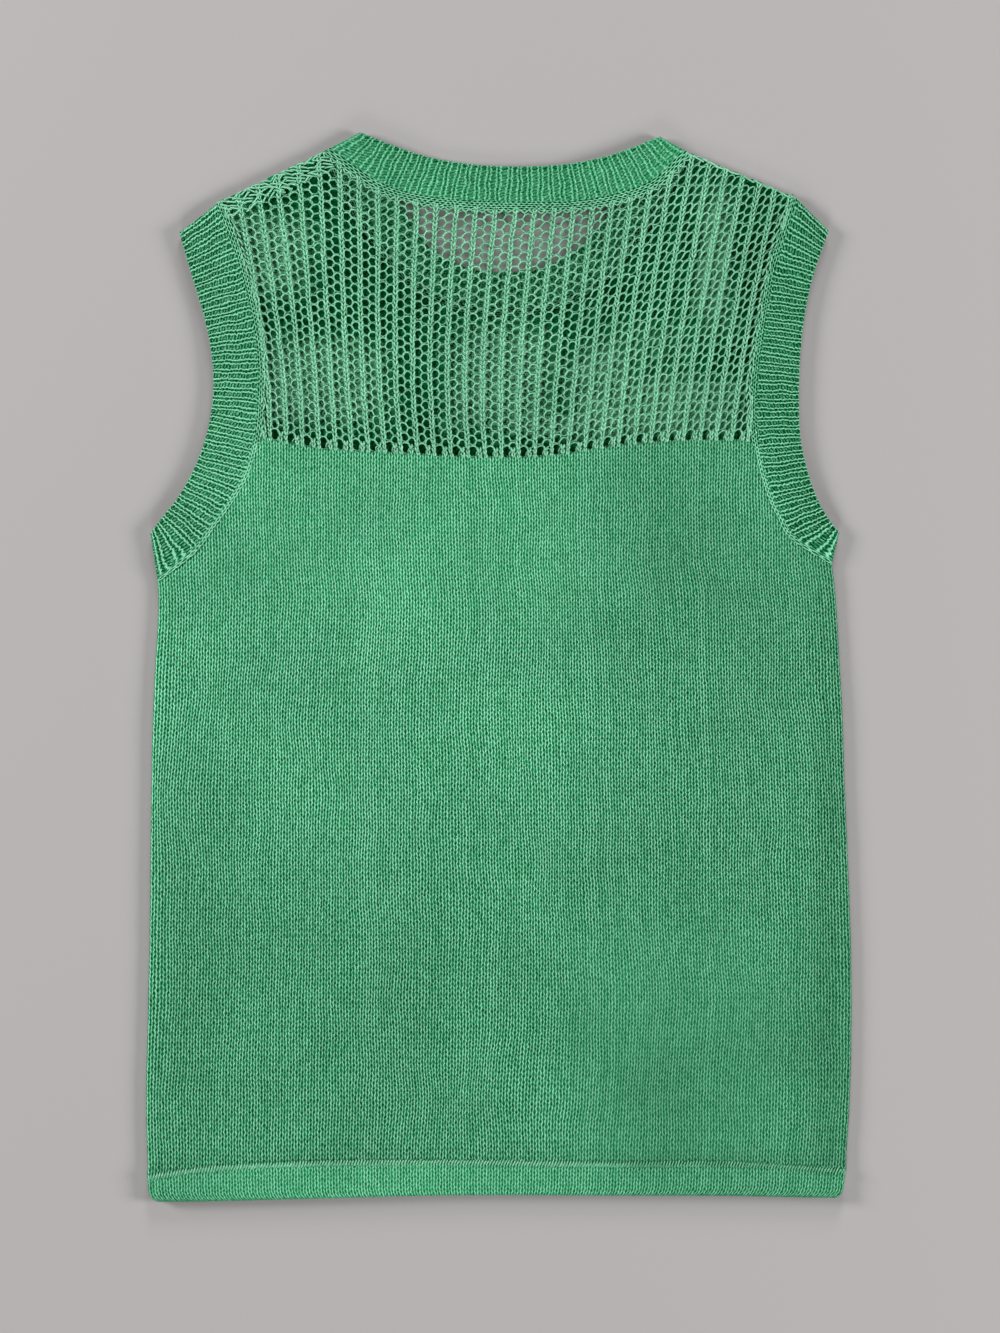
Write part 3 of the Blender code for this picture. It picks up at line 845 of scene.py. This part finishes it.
def plain_lift(wale, depth):
    """The relief of the front's wales, which only shows from below."""
    return depth * (np.abs(np.sin(TURN * wale)) - 1)


def nap_of(points):
    """How much of the stitches' contrast the nap hides."""
    x, y = xy(points)
    low_right = rise(x, 10, 70) * rise(y, 230, -130) * (1 - 0.5 * rise(x, 150, 40))
    return 0.05 + 0.32 * low_right + 0.12 * rise(y, 330, 70)


def painted_cloth_light_and_shade(points):
    """Painted light and shade on the upper cloth: lighter and darker patches, darker towards the bottom and
    towards the right.
    """
    x, y = xy(points)
    right = rise(x, 20, 80)
    return patches(points, PAINTED_LIGHT_PATCHES) - 0.15 * rise(y, 300, -180) * (1 - 0.6 * right) - 0.19 * right


def painted_rim_light_and_shade(points):
    """A painted highlight along the left rim and painted shade along the right rim."""
    x, y = xy(points)
    left, right = x - side_at(y, -1), side_at(y, 1) - x
    return 0.22 * np.exp(-((left - 1) ** 2) / 6) - 0.16 * np.exp(-(right**2) / 3)


def add_jersey(part, is_back, points, faces, stitches, lift, shade, row_picks, mat):
    outer, inner, out = faces
    knit, shade = knit_of(*stitches), shade + 0 * lift
    mesh = shell(outer + out * lift[..., None], inner, row_picks, picks(points.shape[1], 60), knit, shade)
    dress(add_piece(f"knit_{LAYERS[is_back]}_{part}", mesh, mat), "jersey_knit", flat_size(points))


def build_body(is_back, mat):
    points, wale = body_grid(is_back)
    x, y = xy(points)
    course = course_of(y) + 0.5 * soft_noise(points, 30, 5)
    lift, shade, nap = plain_lift(wale, 0.35), 0.5, 0
    if is_back:
        up = (y - hem_line(x)) / 4
        lift = wale_lift(wale, course, 7) + 0.8 * rise(up, 1 / 0.6, -1 / 0.6)
        lift += 0.22 * soft_noise(points * (1, 0.6), 30, 11) + 0.12 * soft_noise(points, 13, 12)
        # Painted light and shade: lighter and darker patches, the rims, and painted shade in a band just
        # above the hem's ridge.
        shade = 0.5 + painted_cloth_light_and_shade(points) - 0.10 * bell(up, 0.9, 1.4) + painted_rim_light_and_shade(points)
        nap = nap_of(points)
    faces = two_faces(points, JERSEY_WALL, is_back)
    add_jersey("body", is_back, points, faces, (wale, course, nap), lift, shade, picks(len(points), 24), mat)


def hem_grid(is_back):
    """XY points of the hem, their distances up from its edge, and each point's wale."""
    shares = np.linspace(0, 1, WALES * WALE_STEPS[is_back] + 1)
    rows, aways = [], []
    for up in (*EDGE_STEPS, 2, 3, 4.3, 5.6, HEM_CORNER):
        rounding = HEM_CORNER - np.sqrt(HEM_CORNER**2 - (HEM_CORNER - up) ** 2)
        left, right = side_reach(up, -1) + rounding, side_reach(up, 1) - rounding
        across = left + shares * (right - left)
        rows.append(pair(across, hem_edge(across) + up))
        aways.append(up + 0 * shares)
    corner_row = rows[-1]
    across = across_at(shares, HEM_RAMP)
    rest = pair(across, hem_line(across)) - corner_row
    for k in range(1, HEM_ROWS[is_back] + 1):
        rows.append(corner_row + k / HEM_ROWS[is_back] * rest)
        aways.append(rows[-1][:, 1] - hem_edge(rows[-1][:, 0]))
    return np.array(rows), np.array(aways), shares * WALES + 0 * np.array(aways)


def build_hem(is_back, mat):
    points, away, wale = hem_grid(is_back)
    x, y = xy(points)
    course = away / HEM_COURSE + 0.2
    from_top = hem_line(x) - y
    soft = rise(away, 0, 2)
    lift, shade, nap = soft * plain_lift(wale, 0.3), 0.5, 0
    if is_back:
        lift = soft * wale_lift(wale, course, 9) + 0.35 * bell(from_top, 0.9, 1.1)
        lift += 0.25 * soft_noise(points, 17, 13) * rise(away, 0, 5)
        # Painted light and shade: the cloth's patches, a painted highlight along the ridge at the hem's top,
        # lighter in the middle and darker towards the right.
        shade = 0.45 + 0.3 * painted_cloth_light_and_shade(points) + 0.16 * bell(from_top, 1.2, 1.4)
        shade += 0.14 * bell(x, -70, 80) - 0.07 * rise(x, 20, 60)
        nap = 0.28
    faces = two_faces(points, HEM_WALL, is_back, away)
    row_picks = [0, 4, 9, len(points) - 1]
    add_jersey("hem", is_back, points, faces, (wale, course, nap), lift, shade, row_picks, mat)


# Ribbed bands

# Columns of a rib on a neck band and on an armhole band, and steps across a band.
NECK_RIB_STEPS = {True: 18, False: 8}
ARMHOLE_RIB_STEPS = {True: 16, False: 8}
BAND_STEPS = {True: 46, False: 20}


def band_grid(band, ribs, rib_steps, across_steps, last_net):
    """XY points of a band, their distances from its free edge, their ribs and how far past its seam."""
    places = np.linspace(0, 1, ribs * rib_steps + 1)[:, None]
    edge, seam = band.edge(places), band.seam(places)
    reach = np.hypot(*xy(seam - edge))
    lap = JERSEY_LAP + (NET_LAP - JERSEY_LAP) * rise(places, last_net + 0.02, -0.02)
    share = np.linspace(0, 1, across_steps + 1)[1:]
    turned = np.broadcast_to(EDGE_STEPS, (len(places), len(EDGE_STEPS)))
    away = np.concatenate([turned, EDGE_REACH + share * (reach + lap - EDGE_REACH)], axis=1)
    points = edge + (seam - edge) * (away / reach)[..., None]
    return points, away, places * ribs + 0 * away, away - reach


def band_ends(band):
    """The ways along a band inwards from its first and last row."""
    step = 1 / CURVE_STEPS
    ways = np.array([band.seam(step) - band.seam(0), band.seam(1 - step) - band.seam(1)])
    return ways / np.hypot(*xy(ways))[:, None]


def rib_relief(rib, away, linking):
    """Relief of one-by-one rib and its painted shade, darker in the notches by the free edge. linking is how
    far in the linking chains each point lies.
    """
    beside = np.abs(rib % 1 - 0.5)
    leg = np.sqrt(np.clip(1 - ((beside - LEG_AT) / 0.10) ** 2, 0, 1))
    on_rib = rise(beside, LEG_AT + 0.12, -0.08)
    notch = (1 - on_rib) * bell(away, 1.6, 1)
    inside = rise(linking, 0, 0.8)
    lift = on_rib * (0.15 + 0.65 * leg) - 0.20 * (1 - on_rib) - 0.35 * notch
    return lift * (1 - inside) + 0.15 * inside, 0.5 - 0.18 * notch


def build_band(name, band, ribs, is_back, mat, linked):
    """Half a ribbed ring. The fine face is the outer one, but the front neck band's is the upper one."""
    is_neck = "neck" in name
    rib_steps = (NECK_RIB_STEPS if is_neck else ARMHOLE_RIB_STEPS)[is_back]
    last_net = 1 if is_neck else band.foot
    points, away, rib, past_seam = band_grid(band, ribs, rib_steps, BAND_STEPS[is_back], last_net)
    rib = rib + 0.11 * soft_noise(points, 6.5, 22)
    linking = linked + past_seam
    lift, shade = rib_relief(rib, away, linking)
    # Less painted shade between the linking chain's stitches over the jersey.
    shade += 0.30 * rise(rib / ribs, last_net, 0.02) * rise(linking, 0, 0.8)
    lift = lift * (0.8 * rise(away, 0, EDGE_REACH) + 0.2)
    outer, inner, out = two_faces(points, BAND_WALL, is_back, away, band_ends(band))
    if is_back:
        lift += 0.10 * soft_noise(points, 9, 21) - 0.35 * rise(past_seam, -1.6, 1.6)
        # Painted shade on the right armhole band.
        shade = shade + BAND_PAINTED_SHADE[name.split("_")[-1]]
        fine, coarse = outer + out * lift[..., None], inner
    elif is_neck:
        inner[..., 2] += lift
        fine, coarse = inner, outer
    else:
        fine, coarse = outer + out * (lift - 1)[..., None], inner
    row_picks, column_picks = picks(len(points), ribs), [0, 4, 14, points.shape[1] - 1]
    knit = knit_of(rib, away / RIB_COURSE, linking)
    obj = add_piece("knit_" + name, shell(fine, coarse, row_picks, column_picks, knit, shade), mat)
    cloth = points[:, :-1]
    _, _, area = flat_size(cloth)
    run = np.hypot(*np.diff(cloth[:, cloth.shape[1] // 2], axis=0).T).sum() * MM
    dress(obj, "rib_knit", (area / run * 1.001, run, area))


# Openwork

# Where a gap's two columns of openings stand, as shares of the gap, and the guess at a foot's height.
LEFT_COLUMN = 0.335
RIGHT_COLUMN = 0.668
FOOT_GUESS = 471
TOP_ROW = 40


def rib_across(index, height):
    """How far across a rib of the openwork stands, by a cubic through the measured heights."""
    total = 0
    for k, knot in enumerate(RIB_HEIGHTS):
        weight = 1
        for other in RIB_HEIGHTS[:k] + RIB_HEIGHTS[k + 1 :]:
            weight = weight * (height - other) / (knot - other)
        total = total + weight * table_curve(NET_RIBS, k + 1, index)
    return total


def rib_lean(index, height):
    """How much a rib leans: its step across for each step up."""
    return (rib_across(index, height + 5) - rib_across(index, height - 5)) / 10


def yoke_outline(neck):
    """The border of a yoke, from its foot against the clock."""
    left, right = ARMHOLES[-1], ARMHOLES[1]
    foot_x = np.linspace(left.seam(left.foot)[0], right.seam(right.foot)[0], 60)
    right_side = right.seam(np.linspace(right.foot, 0, 50))
    top = neck.seam(np.linspace(1, 0, 60))
    left_side = left.seam(np.linspace(0, left.foot, 50))
    return np.concatenate([pair(foot_x, yoke_foot(foot_x)), right_side, top, left_side])


def depth_in(points, outline):
    """How far each point lies inside the outline, and the nearest place on it."""
    nearest, foot = nearest_on(points, np.concatenate([outline, outline[:1]]))
    inside = np.zeros(nearest.shape, bool)
    x, y = xy(points)
    for (x0, y0), (x1, y1) in zip(outline, np.roll(outline, -1, axis=0)):
        if y0 != y1:
            crosses = (y0 > y) != (y1 > y)
            inside ^= crosses & (x < x0 + (y - y0) / (y1 - y0) * (x1 - x0))
    return np.where(inside, nearest, -nearest), foot


def held_in(points, outline, inset):
    """Moves points inside the outline, at least the inset from it."""
    depth, foot = depth_in(points, outline)
    reach = np.where(depth < 0, np.minimum(depth, -TINY), np.maximum(depth, TINY))
    held = foot + (points - foot) / reach[..., None] * inset
    return np.where((depth < inset)[..., None], held, points)


def gap_frame(gap, rows_up, share, luck):
    """A place in a gap between two ribs, and the gap's lean, climb and width there."""
    height = FOOT_GUESS + rows_up * NET_ROW
    for _ in range(2):
        left, right = rib_across(gap, height), rib_across(gap + 1, height)
        across = left + share * (right - left)
        climb = table_curve(NET_SHEAR, 1, across) + luck
        height = yoke_foot(across) + rows_up * NET_ROW + climb * (share - 0.5) * (right - left)
    return pair(across, height), rib_lean(gap + share, height), climb, right - left


def shoulder_depth(points):
    """How far points lie below the bunched strips under the shoulders."""
    strips = zip(SHOULDERS.values(), SHOULDER_STRIPS)
    return np.min([nearest_on(points, line)[0] - strip for line, strip in strips], axis=0)


def painted_close_light(points):
    """How much painted light the front gets where it lies close under the back."""
    painted_light = 0.13 + 1.1 * patches(points, CLOSE_PATCHES, power=4)
    return np.clip(painted_light + 0.12 * soft_noise(points, 12, 33), 0, 1)


def net_loops(outline, is_back):
    """The loops round the openings of the net."""
    rng = np.random.default_rng(31 if is_back else 32)
    gaps = np.arange(FIRST_GAP if is_back else FIRST_GAP - 1, LAST_GAP + 1)
    gap_luck = rng.uniform(-0.14, 0.14, len(gaps))
    shape = NET_LOOP if is_back else NET_LOOP[::2] * FRONT_OPENING
    paths, radii, painted_lights = [], [], []
    for side, share, first in ((1, LEFT_COLUMN, 0.9), (-1, RIGHT_COLUMN, 1.4)):
        gap, row = all_pairs(gaps, np.arange(-1, TOP_ROW))
        lowest = (side == 1) & (row == 0)
        rows_up = first + row - 0.18 * lowest
        used = rows_up > 0.3
        gap, rows_up, lowest = gap[used], rows_up[used], lowest[used]
        luck = gap_luck[gap - gaps[0]] + rng.uniform(-0.05, 0.05, len(gap))
        centre, lean, climb, width = gap_frame(gap + NET_SHIFT[is_back], rows_up, share, luck)
        centre = centre + rng.normal(0, 0.20, centre.shape)
        kept = depth_in(centre, outline)[0] > -1.2
        if is_back:
            kept &= shoulder_depth(centre) > 0
        centre, lean, climb, width, lowest = (a[kept] for a in (centre, lean, climb, width, lowest))
        stretch = pair(side * (width - 2.4) / 8.1 * (1 + 0.3 * lowest), 1 + 0.36 * lowest)
        local = shape[None] * stretch[:, None] * (1 + rng.normal(0, 0.035, (len(centre), 1, 2)))
        x, y = xy(local + rng.normal(0, 0.10, local.shape))
        points = centre[:, None] + pair(x + lean[:, None] * y, y + climb[:, None] * x)
        points = held_in(points, outline, 0.2 if is_back else 1.5)
        tilt = 0.32 * y / 2.4 + rng.normal(0, 0.10, y.shape)
        # Painted light: a little on all of the back's loops, more on the front's where it lies close under
        # the back.
        painted_light = np.full(len(centre), 0.16) if is_back else painted_close_light(centre)
        up = 1 + tilt if is_back else np.maximum(1 - tilt, 0.85) + CLOSE_RISE * painted_light[:, None]
        paths.append(lay(points, up, is_back)[:, ::side])
        luck = np.clip(rng.normal(1, 0.07, (len(centre), 1)), 0.8, 1.2)
        radii.append(NET_YARN[is_back] * luck + 0 * y)
        painted_lights.append(painted_light)
    paths, radii, painted_lights = (np.concatenate(each) for each in (paths, radii, painted_lights))
    return tubes(paths, radii, 4, is_back, True, 1 if is_back else 0.4, painted_lights)


def chevrons(base, way, beside, reach, spread, levels, radius, is_back, rng, sides, outline=None):
    """Knit stitches as pairs of legs, from base points along a way."""
    jitter = rng.normal(0, 0.12, (len(base), 1, 2))
    run = np.array([-0.10, 0.34, 0.82, 1.12])[:, None]
    out = np.array([0.15, 0.72, 1.25, 1.10]) * spread
    legs = []
    for side in (-1, 1):
        points = base[:, None] + way[:, None] * run * reach + side * beside[:, None] * out[..., None] + jitter
        if outline is not None:
            points = held_in(points, outline, 0.4)
        up = levels[:, None] + np.array([-0.60, 0.25, 0.15, -0.80]) + rng.normal(0, 0.10, (len(base), 1))
        legs.append(lay(points, stitch_level(up, is_back, JERSEY_WALL, 1.35 * radius), is_back))
    legs = np.concatenate(legs)
    size = radius * np.array([0.70, 1.05, 1.05, 0.55]) * (1 + rng.normal(0, 0.08, (len(legs), 1)))
    # Painted light on the stitches, as on the loops.
    painted_light = 0.10 if is_back else np.tile(painted_close_light(base), 2)
    return tubes(legs, size, sides, is_back, height=0.95, painted_light=painted_light)


def net_stitches(outline, is_back):
    """The ribs of the net, and the stitches at its foot between them."""
    rng = np.random.default_rng(41 if is_back else 42)
    base, way, spread = [], [], []
    for share, rows in ((0, np.arange(-0.1, TOP_ROW, 0.5)), (RIGHT_COLUMN, [0.1, 0.6])):
        index, up = all_pairs(np.arange(FIRST_GAP, LAST_GAP + 2) + NET_SHIFT[is_back] + share, rows)
        height = FOOT_GUESS + up * NET_ROW
        for _ in range(2):
            across = rib_across(index, height)
            height = yoke_foot(across) + up * NET_ROW
        base.append(pair(across, height))
        way.append(pair(rib_lean(index, height), np.ones(len(up))))
        own = np.where(up < 1.3, 0.6, NET_RIB_SPREAD[is_back])
        spread.append(own if share == 0 else 0.75 + 0 * own)
    base, way, spread = np.concatenate(base), np.concatenate(way), np.concatenate(spread)
    kept = depth_in(base + way * 1.4, outline)[0] > 0
    base, way, spread = base[kept], way[kept], spread[kept, None]
    base[:, 0] += 0.45 * soft_noise(base, 9, 35)
    beside = pair(way[:, 1], -way[:, 0])
    levels = 2.05 + rng.normal(0, 0.15, len(base))
    radius, sides = NET_RIB_YARN[is_back], 5 if is_back else 4
    return chevrons(base, way, beside, NET_ROW / 2, spread, levels, radius, is_back, rng, sides, outline)


def build_yoke(is_back, mat):
    layer = LAYERS[is_back]
    outline = yoke_outline(NECKS[is_back])
    net = add_piece(f"knit_{layer}_yoke", join([net_loops(outline, is_back)]), mat)
    ribs = add_piece(f"knit_{layer}_yoke_ribs", join([net_stitches(outline, is_back)]), mat)
    place(ribs, "openwork_knit")
    x, y = xy(outline)
    width, length = (outline.max(0) - outline.min(0)) * MM
    area = abs(np.dot(x, np.roll(y, -1)) - np.dot(y, np.roll(x, -1))) / 2 * MM * MM
    dress(net, "openwork_knit", (width, length, area * NET_SOLID_SHARE[is_back]))


# Linked seams


def spaced_line(line, step):
    """Points at even steps along a line, and the ways along and beside it."""
    run = np.concatenate([[0], np.cumsum(np.hypot(*np.diff(line, axis=0).T))])
    at = np.arange(step / 2, run[-1], step)
    points, ahead, behind = (
        pair(*[np.interp(at + shift, run, line[:, k]) for k in (0, 1)]) for shift in (0, 0.5, -0.5)
    )
    way = (ahead - behind) / np.hypot(*xy(ahead - behind))[:, None]
    return points, way, pair(way[:, 1], -way[:, 0])


def short_yarns(rng, base, way, beside, run, out, levels, uneven, radius, is_back, wall=JERSEY_WALL, painted_light=0):
    """Short lengths of yarn, from how far they reach along, beside and above their base points."""
    up = levels + rng.normal(0, uneven, (len(base), 1))
    paths = base[:, None] + way[:, None] * run[..., None] + beside[:, None] * out[..., None]
    laid = lay(paths, stitch_level(up, is_back, wall, radius), is_back, wall)
    return tubes(laid, radius, 5, is_back, painted_light=painted_light)


def chain_row(line, offset, is_back, seed):
    """A row of chain stitches along a line, moved sideways from it."""
    rng = np.random.default_rng(seed)
    step, uneven = 4.3, 0.35
    points, way, beside = spaced_line(line, step)
    base = points + beside * (offset + rng.normal(0, uneven, (len(points), 1)))
    levels = 2 + rng.normal(0, uneven, len(base))
    spread = np.ones((len(base), 1))
    return chevrons(base, way, beside, step, spread, levels, 0.44, is_back, rng, 5)


def zigzag_row(line, offset, is_back, seed):
    """One yarn that swings to and fro across a line, cut into short lengths."""
    rng = np.random.default_rng(seed)
    step, swing = 2.6, 0.9
    points, way, beside = spaced_line(line, step)
    run = np.array([-0.55, -0.2, 0.2, 0.55]) * step
    flip = np.where(np.arange(len(points)) % 2 == 0, 1, -1)[:, None]
    out = np.array([-1, -0.45, 0.45, 1]) * swing * flip
    levels = 1.9 + np.array([-0.25, 0.12, 0.12, -0.25])
    base = points + beside * offset + rng.normal(0, 0.08, points.shape)
    return short_yarns(rng, base, way, beside, run, out, levels, 0.06, 0.45, is_back)


def strand_row(line, offset, swing, is_back, seed):
    """Loops drawn out along a line, each bent like an S and no two alike."""
    rng = np.random.default_rng(seed)
    step, length, radius = 4.9, 6.2, 0.56
    points, way, beside = spaced_line(line, step)
    each = (len(points), 1)
    run = np.array([-0.5, -0.3, 0, 0.3, 0.5]) * length * (1 + rng.normal(0, 0.15, each))
    turned = np.where(rng.random(each) < 0.25, -1, 1)
    out = np.array([-1, -0.7, 0.1, 0.9, 1]) * swing * turned * (1 + rng.normal(0, 0.35, each))
    out = abs(offset) + rng.normal(0, 0.35, each) + out
    out = np.maximum(out, radius + 0.1) * np.sign(offset)
    levels = 2 + np.array([-0.7, 0, 0.2, 0, -0.7])
    return short_yarns(rng, points, way, beside, run, out, levels, 0.12, radius, is_back)


def ridge_row(line, offset, is_back, seed):
    """The ridge at the top of the hem: short stitches that lean the same way, with less painted highlight
    towards the right.
    """
    rng = np.random.default_rng(seed)
    points, way, beside = spaced_line(line, 1.82)
    each = (len(points), 1)
    base = points - beside * (offset + rng.normal(0, 0.10, each))
    run = np.array([-0.75, -0.3, 0.3, 0.75])
    out = np.array([-1.6, -0.7, 0.7, 1.6]) * rng.normal(1, 0.12, each)
    levels = 3.45 + np.array([-0.45, 0.10, 0.10, -0.45])
    painted_light = -0.20 * rise(points[:, 0], 20, 60)
    return short_yarns(rng, base, way, -beside, run, out, levels, 0.08, 0.45, is_back, HEM_WALL, painted_light)


def build_linking(is_back, mat):
    """The chains beside the bands, the drawn stitches of the shoulders and the hem's ridge."""
    neck_line = NECKS[is_back].seam(np.linspace(0, 1, 200))
    seams = [zigzag_row(neck_line, NET_LAP + 0.5, is_back, 52)]
    for k, (side, band) in enumerate(ARMHOLES.items()):
        line = band.seam(np.linspace(0.01, band.foot - 0.01, 200))
        seams.append(chain_row(line, side * (NET_LAP + 0.3), is_back, 53 + k))
        rows, swing = SHOULDER_ROWS[side]
        for row in range(rows):
            offset = side * (1.3 + 2.4 * row)
            seams.append(strand_row(SHOULDERS[side][1:3], offset, swing, is_back, 61 + 10 * k + row))
    across = np.linspace(side_at(HEM_RAMP, -1) + 1, side_at(HEM_RAMP, 1) - 1, 120)
    seams.append(ridge_row(pair(across, hem_line(across)), -0.9, is_back, 81))
    place(add_piece("linking_" + LAYERS[is_back], join(seams), mat), "rib_knit")


# The garment


def flat_size(points):
    """The width, length and area, in metres, of the flat cloth under a grid of points."""
    x, y = xy(np.stack([points[1:, 1:] - points[:-1, :-1], points[1:, :-1] - points[:-1, 1:]]))
    area = np.abs(x[0] * y[1] - y[0] * x[1]).sum() / 2
    return *(np.ptp(points.reshape(-1, 2), axis=0) * MM), area * MM * MM


def place(obj, slot):
    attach(obj, "root")


def dress(obj, slot, size):
    """Attaches a piece to the root and hides the part of model.glb that it replaces, found by the piece's
    name. Its slot and size are not used.
    """
    place(obj, slot)
    node = obj.name.removeprefix("knit_")
    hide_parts(node)


def build_garment():
    jersey = jersey_material()
    neck_rib = rib_material("neck_rib_knit", crest=0.85, groove=0.37, gutter=0.53, hatching=0.24)
    armhole_rib = rib_material("armhole_rib_knit", crest=1.16, groove=0.06, gutter=0.42, hatching=0.40)
    yarn = yarn_material("openwork_yarn")
    for is_back, layer in LAYERS.items():
        build_body(is_back, jersey)
        build_hem(is_back, jersey)
        build_band(layer + "_neck_band", NECKS[is_back], NECK_RIBS[is_back], is_back, neck_rib, NECK_LINKED)
        for side, band in ARMHOLES.items():
            name = f"{layer}_armhole_band_{SIDE_NAMES[side]}"
            build_band(name, band, ARMHOLE_RIBS, is_back, armhole_rib, ARMHOLE_LINKED)
        build_yoke(is_back, yarn)
        build_linking(is_back, yarn)


# Stage

PHOTO_WIDTH = 1000
PHOTO_HEIGHT = 1333
MM_PER_PIXEL = 0.62
CENTRE_LINE_PIXEL = 499
HEM_PIXEL = 1200
LENS = 100
SENSOR = 36
TOP_LEVEL = 5

FLOOR_HALF = 6
FLOOR_LEVEL = -0.0003
FLOOR = {"Base Color": (0.408, 0.389, 0.389, 1), "Roughness": 0.9, "Specular IOR Level": 0.1}
SKY = {"Color": (1, 1, 1, 1), "Strength": 0.09}

# Soft lamps a metre wide round the garment: name, place in metres and power.
LAMPS = (
    ("left", (-2.6, 0.7, 1.15), 81),
    ("right", (2.6, -0.3, 1.15), 76),
    ("far", (0.3, 2.7, 1.15), 41),
    ("near", (-0.3, -2.7, 1.15), 34.5),
)


def add_camera():
    data = bpy.data.cameras.new("camera")
    data.lens, data.sensor_width = LENS, SENSOR
    camera = link("camera", data)
    across = (PHOTO_WIDTH / 2 - CENTRE_LINE_PIXEL) * MM_PER_PIXEL
    along = (HEM_PIXEL - PHOTO_HEIGHT / 2) * MM_PER_PIXEL - HEM_TO_MIDDLE
    far = PHOTO_HEIGHT * MM_PER_PIXEL / SENSOR * LENS
    camera.location = (across * MM, along * MM, (far + TOP_LEVEL) * MM)
    bpy.context.scene.camera = camera


def set_inputs(tree, node, values):
    for socket, value in values.items():
        tree.nodes[node].inputs[socket].default_value = value


def add_stage():
    mesh = bpy.data.meshes.new("floor")
    signs = ((-1, -1), (1, -1), (1, 1), (-1, 1))
    corners = [(x * FLOOR_HALF, y * FLOOR_HALF, FLOOR_LEVEL) for x, y in signs]
    mesh.from_pydata(corners, [], [(0, 1, 2, 3)])
    mat = bpy.data.materials.new("floor")
    mat.use_nodes = True
    set_inputs(mat.node_tree, "Principled BSDF", FLOOR)
    mesh.materials.append(mat)
    link("floor", mesh)
    world = bpy.data.worlds.new("world")
    world.use_nodes = True
    set_inputs(world.node_tree, "Background", SKY)
    bpy.context.scene.world = world
    for name, place_at, power in LAMPS:
        data = bpy.data.lights.new(name, "AREA")
        data.shape, data.size, data.energy = "DISK", 1, power
        lamp = link(name, data)
        lamp.location = place_at
        lamp.rotation_euler = (-Vector(place_at)).to_track_quat("-Z", "Y").to_euler()
    bpy.context.scene.view_settings.view_transform = "Standard"


build_garment()
add_camera()
add_stage()
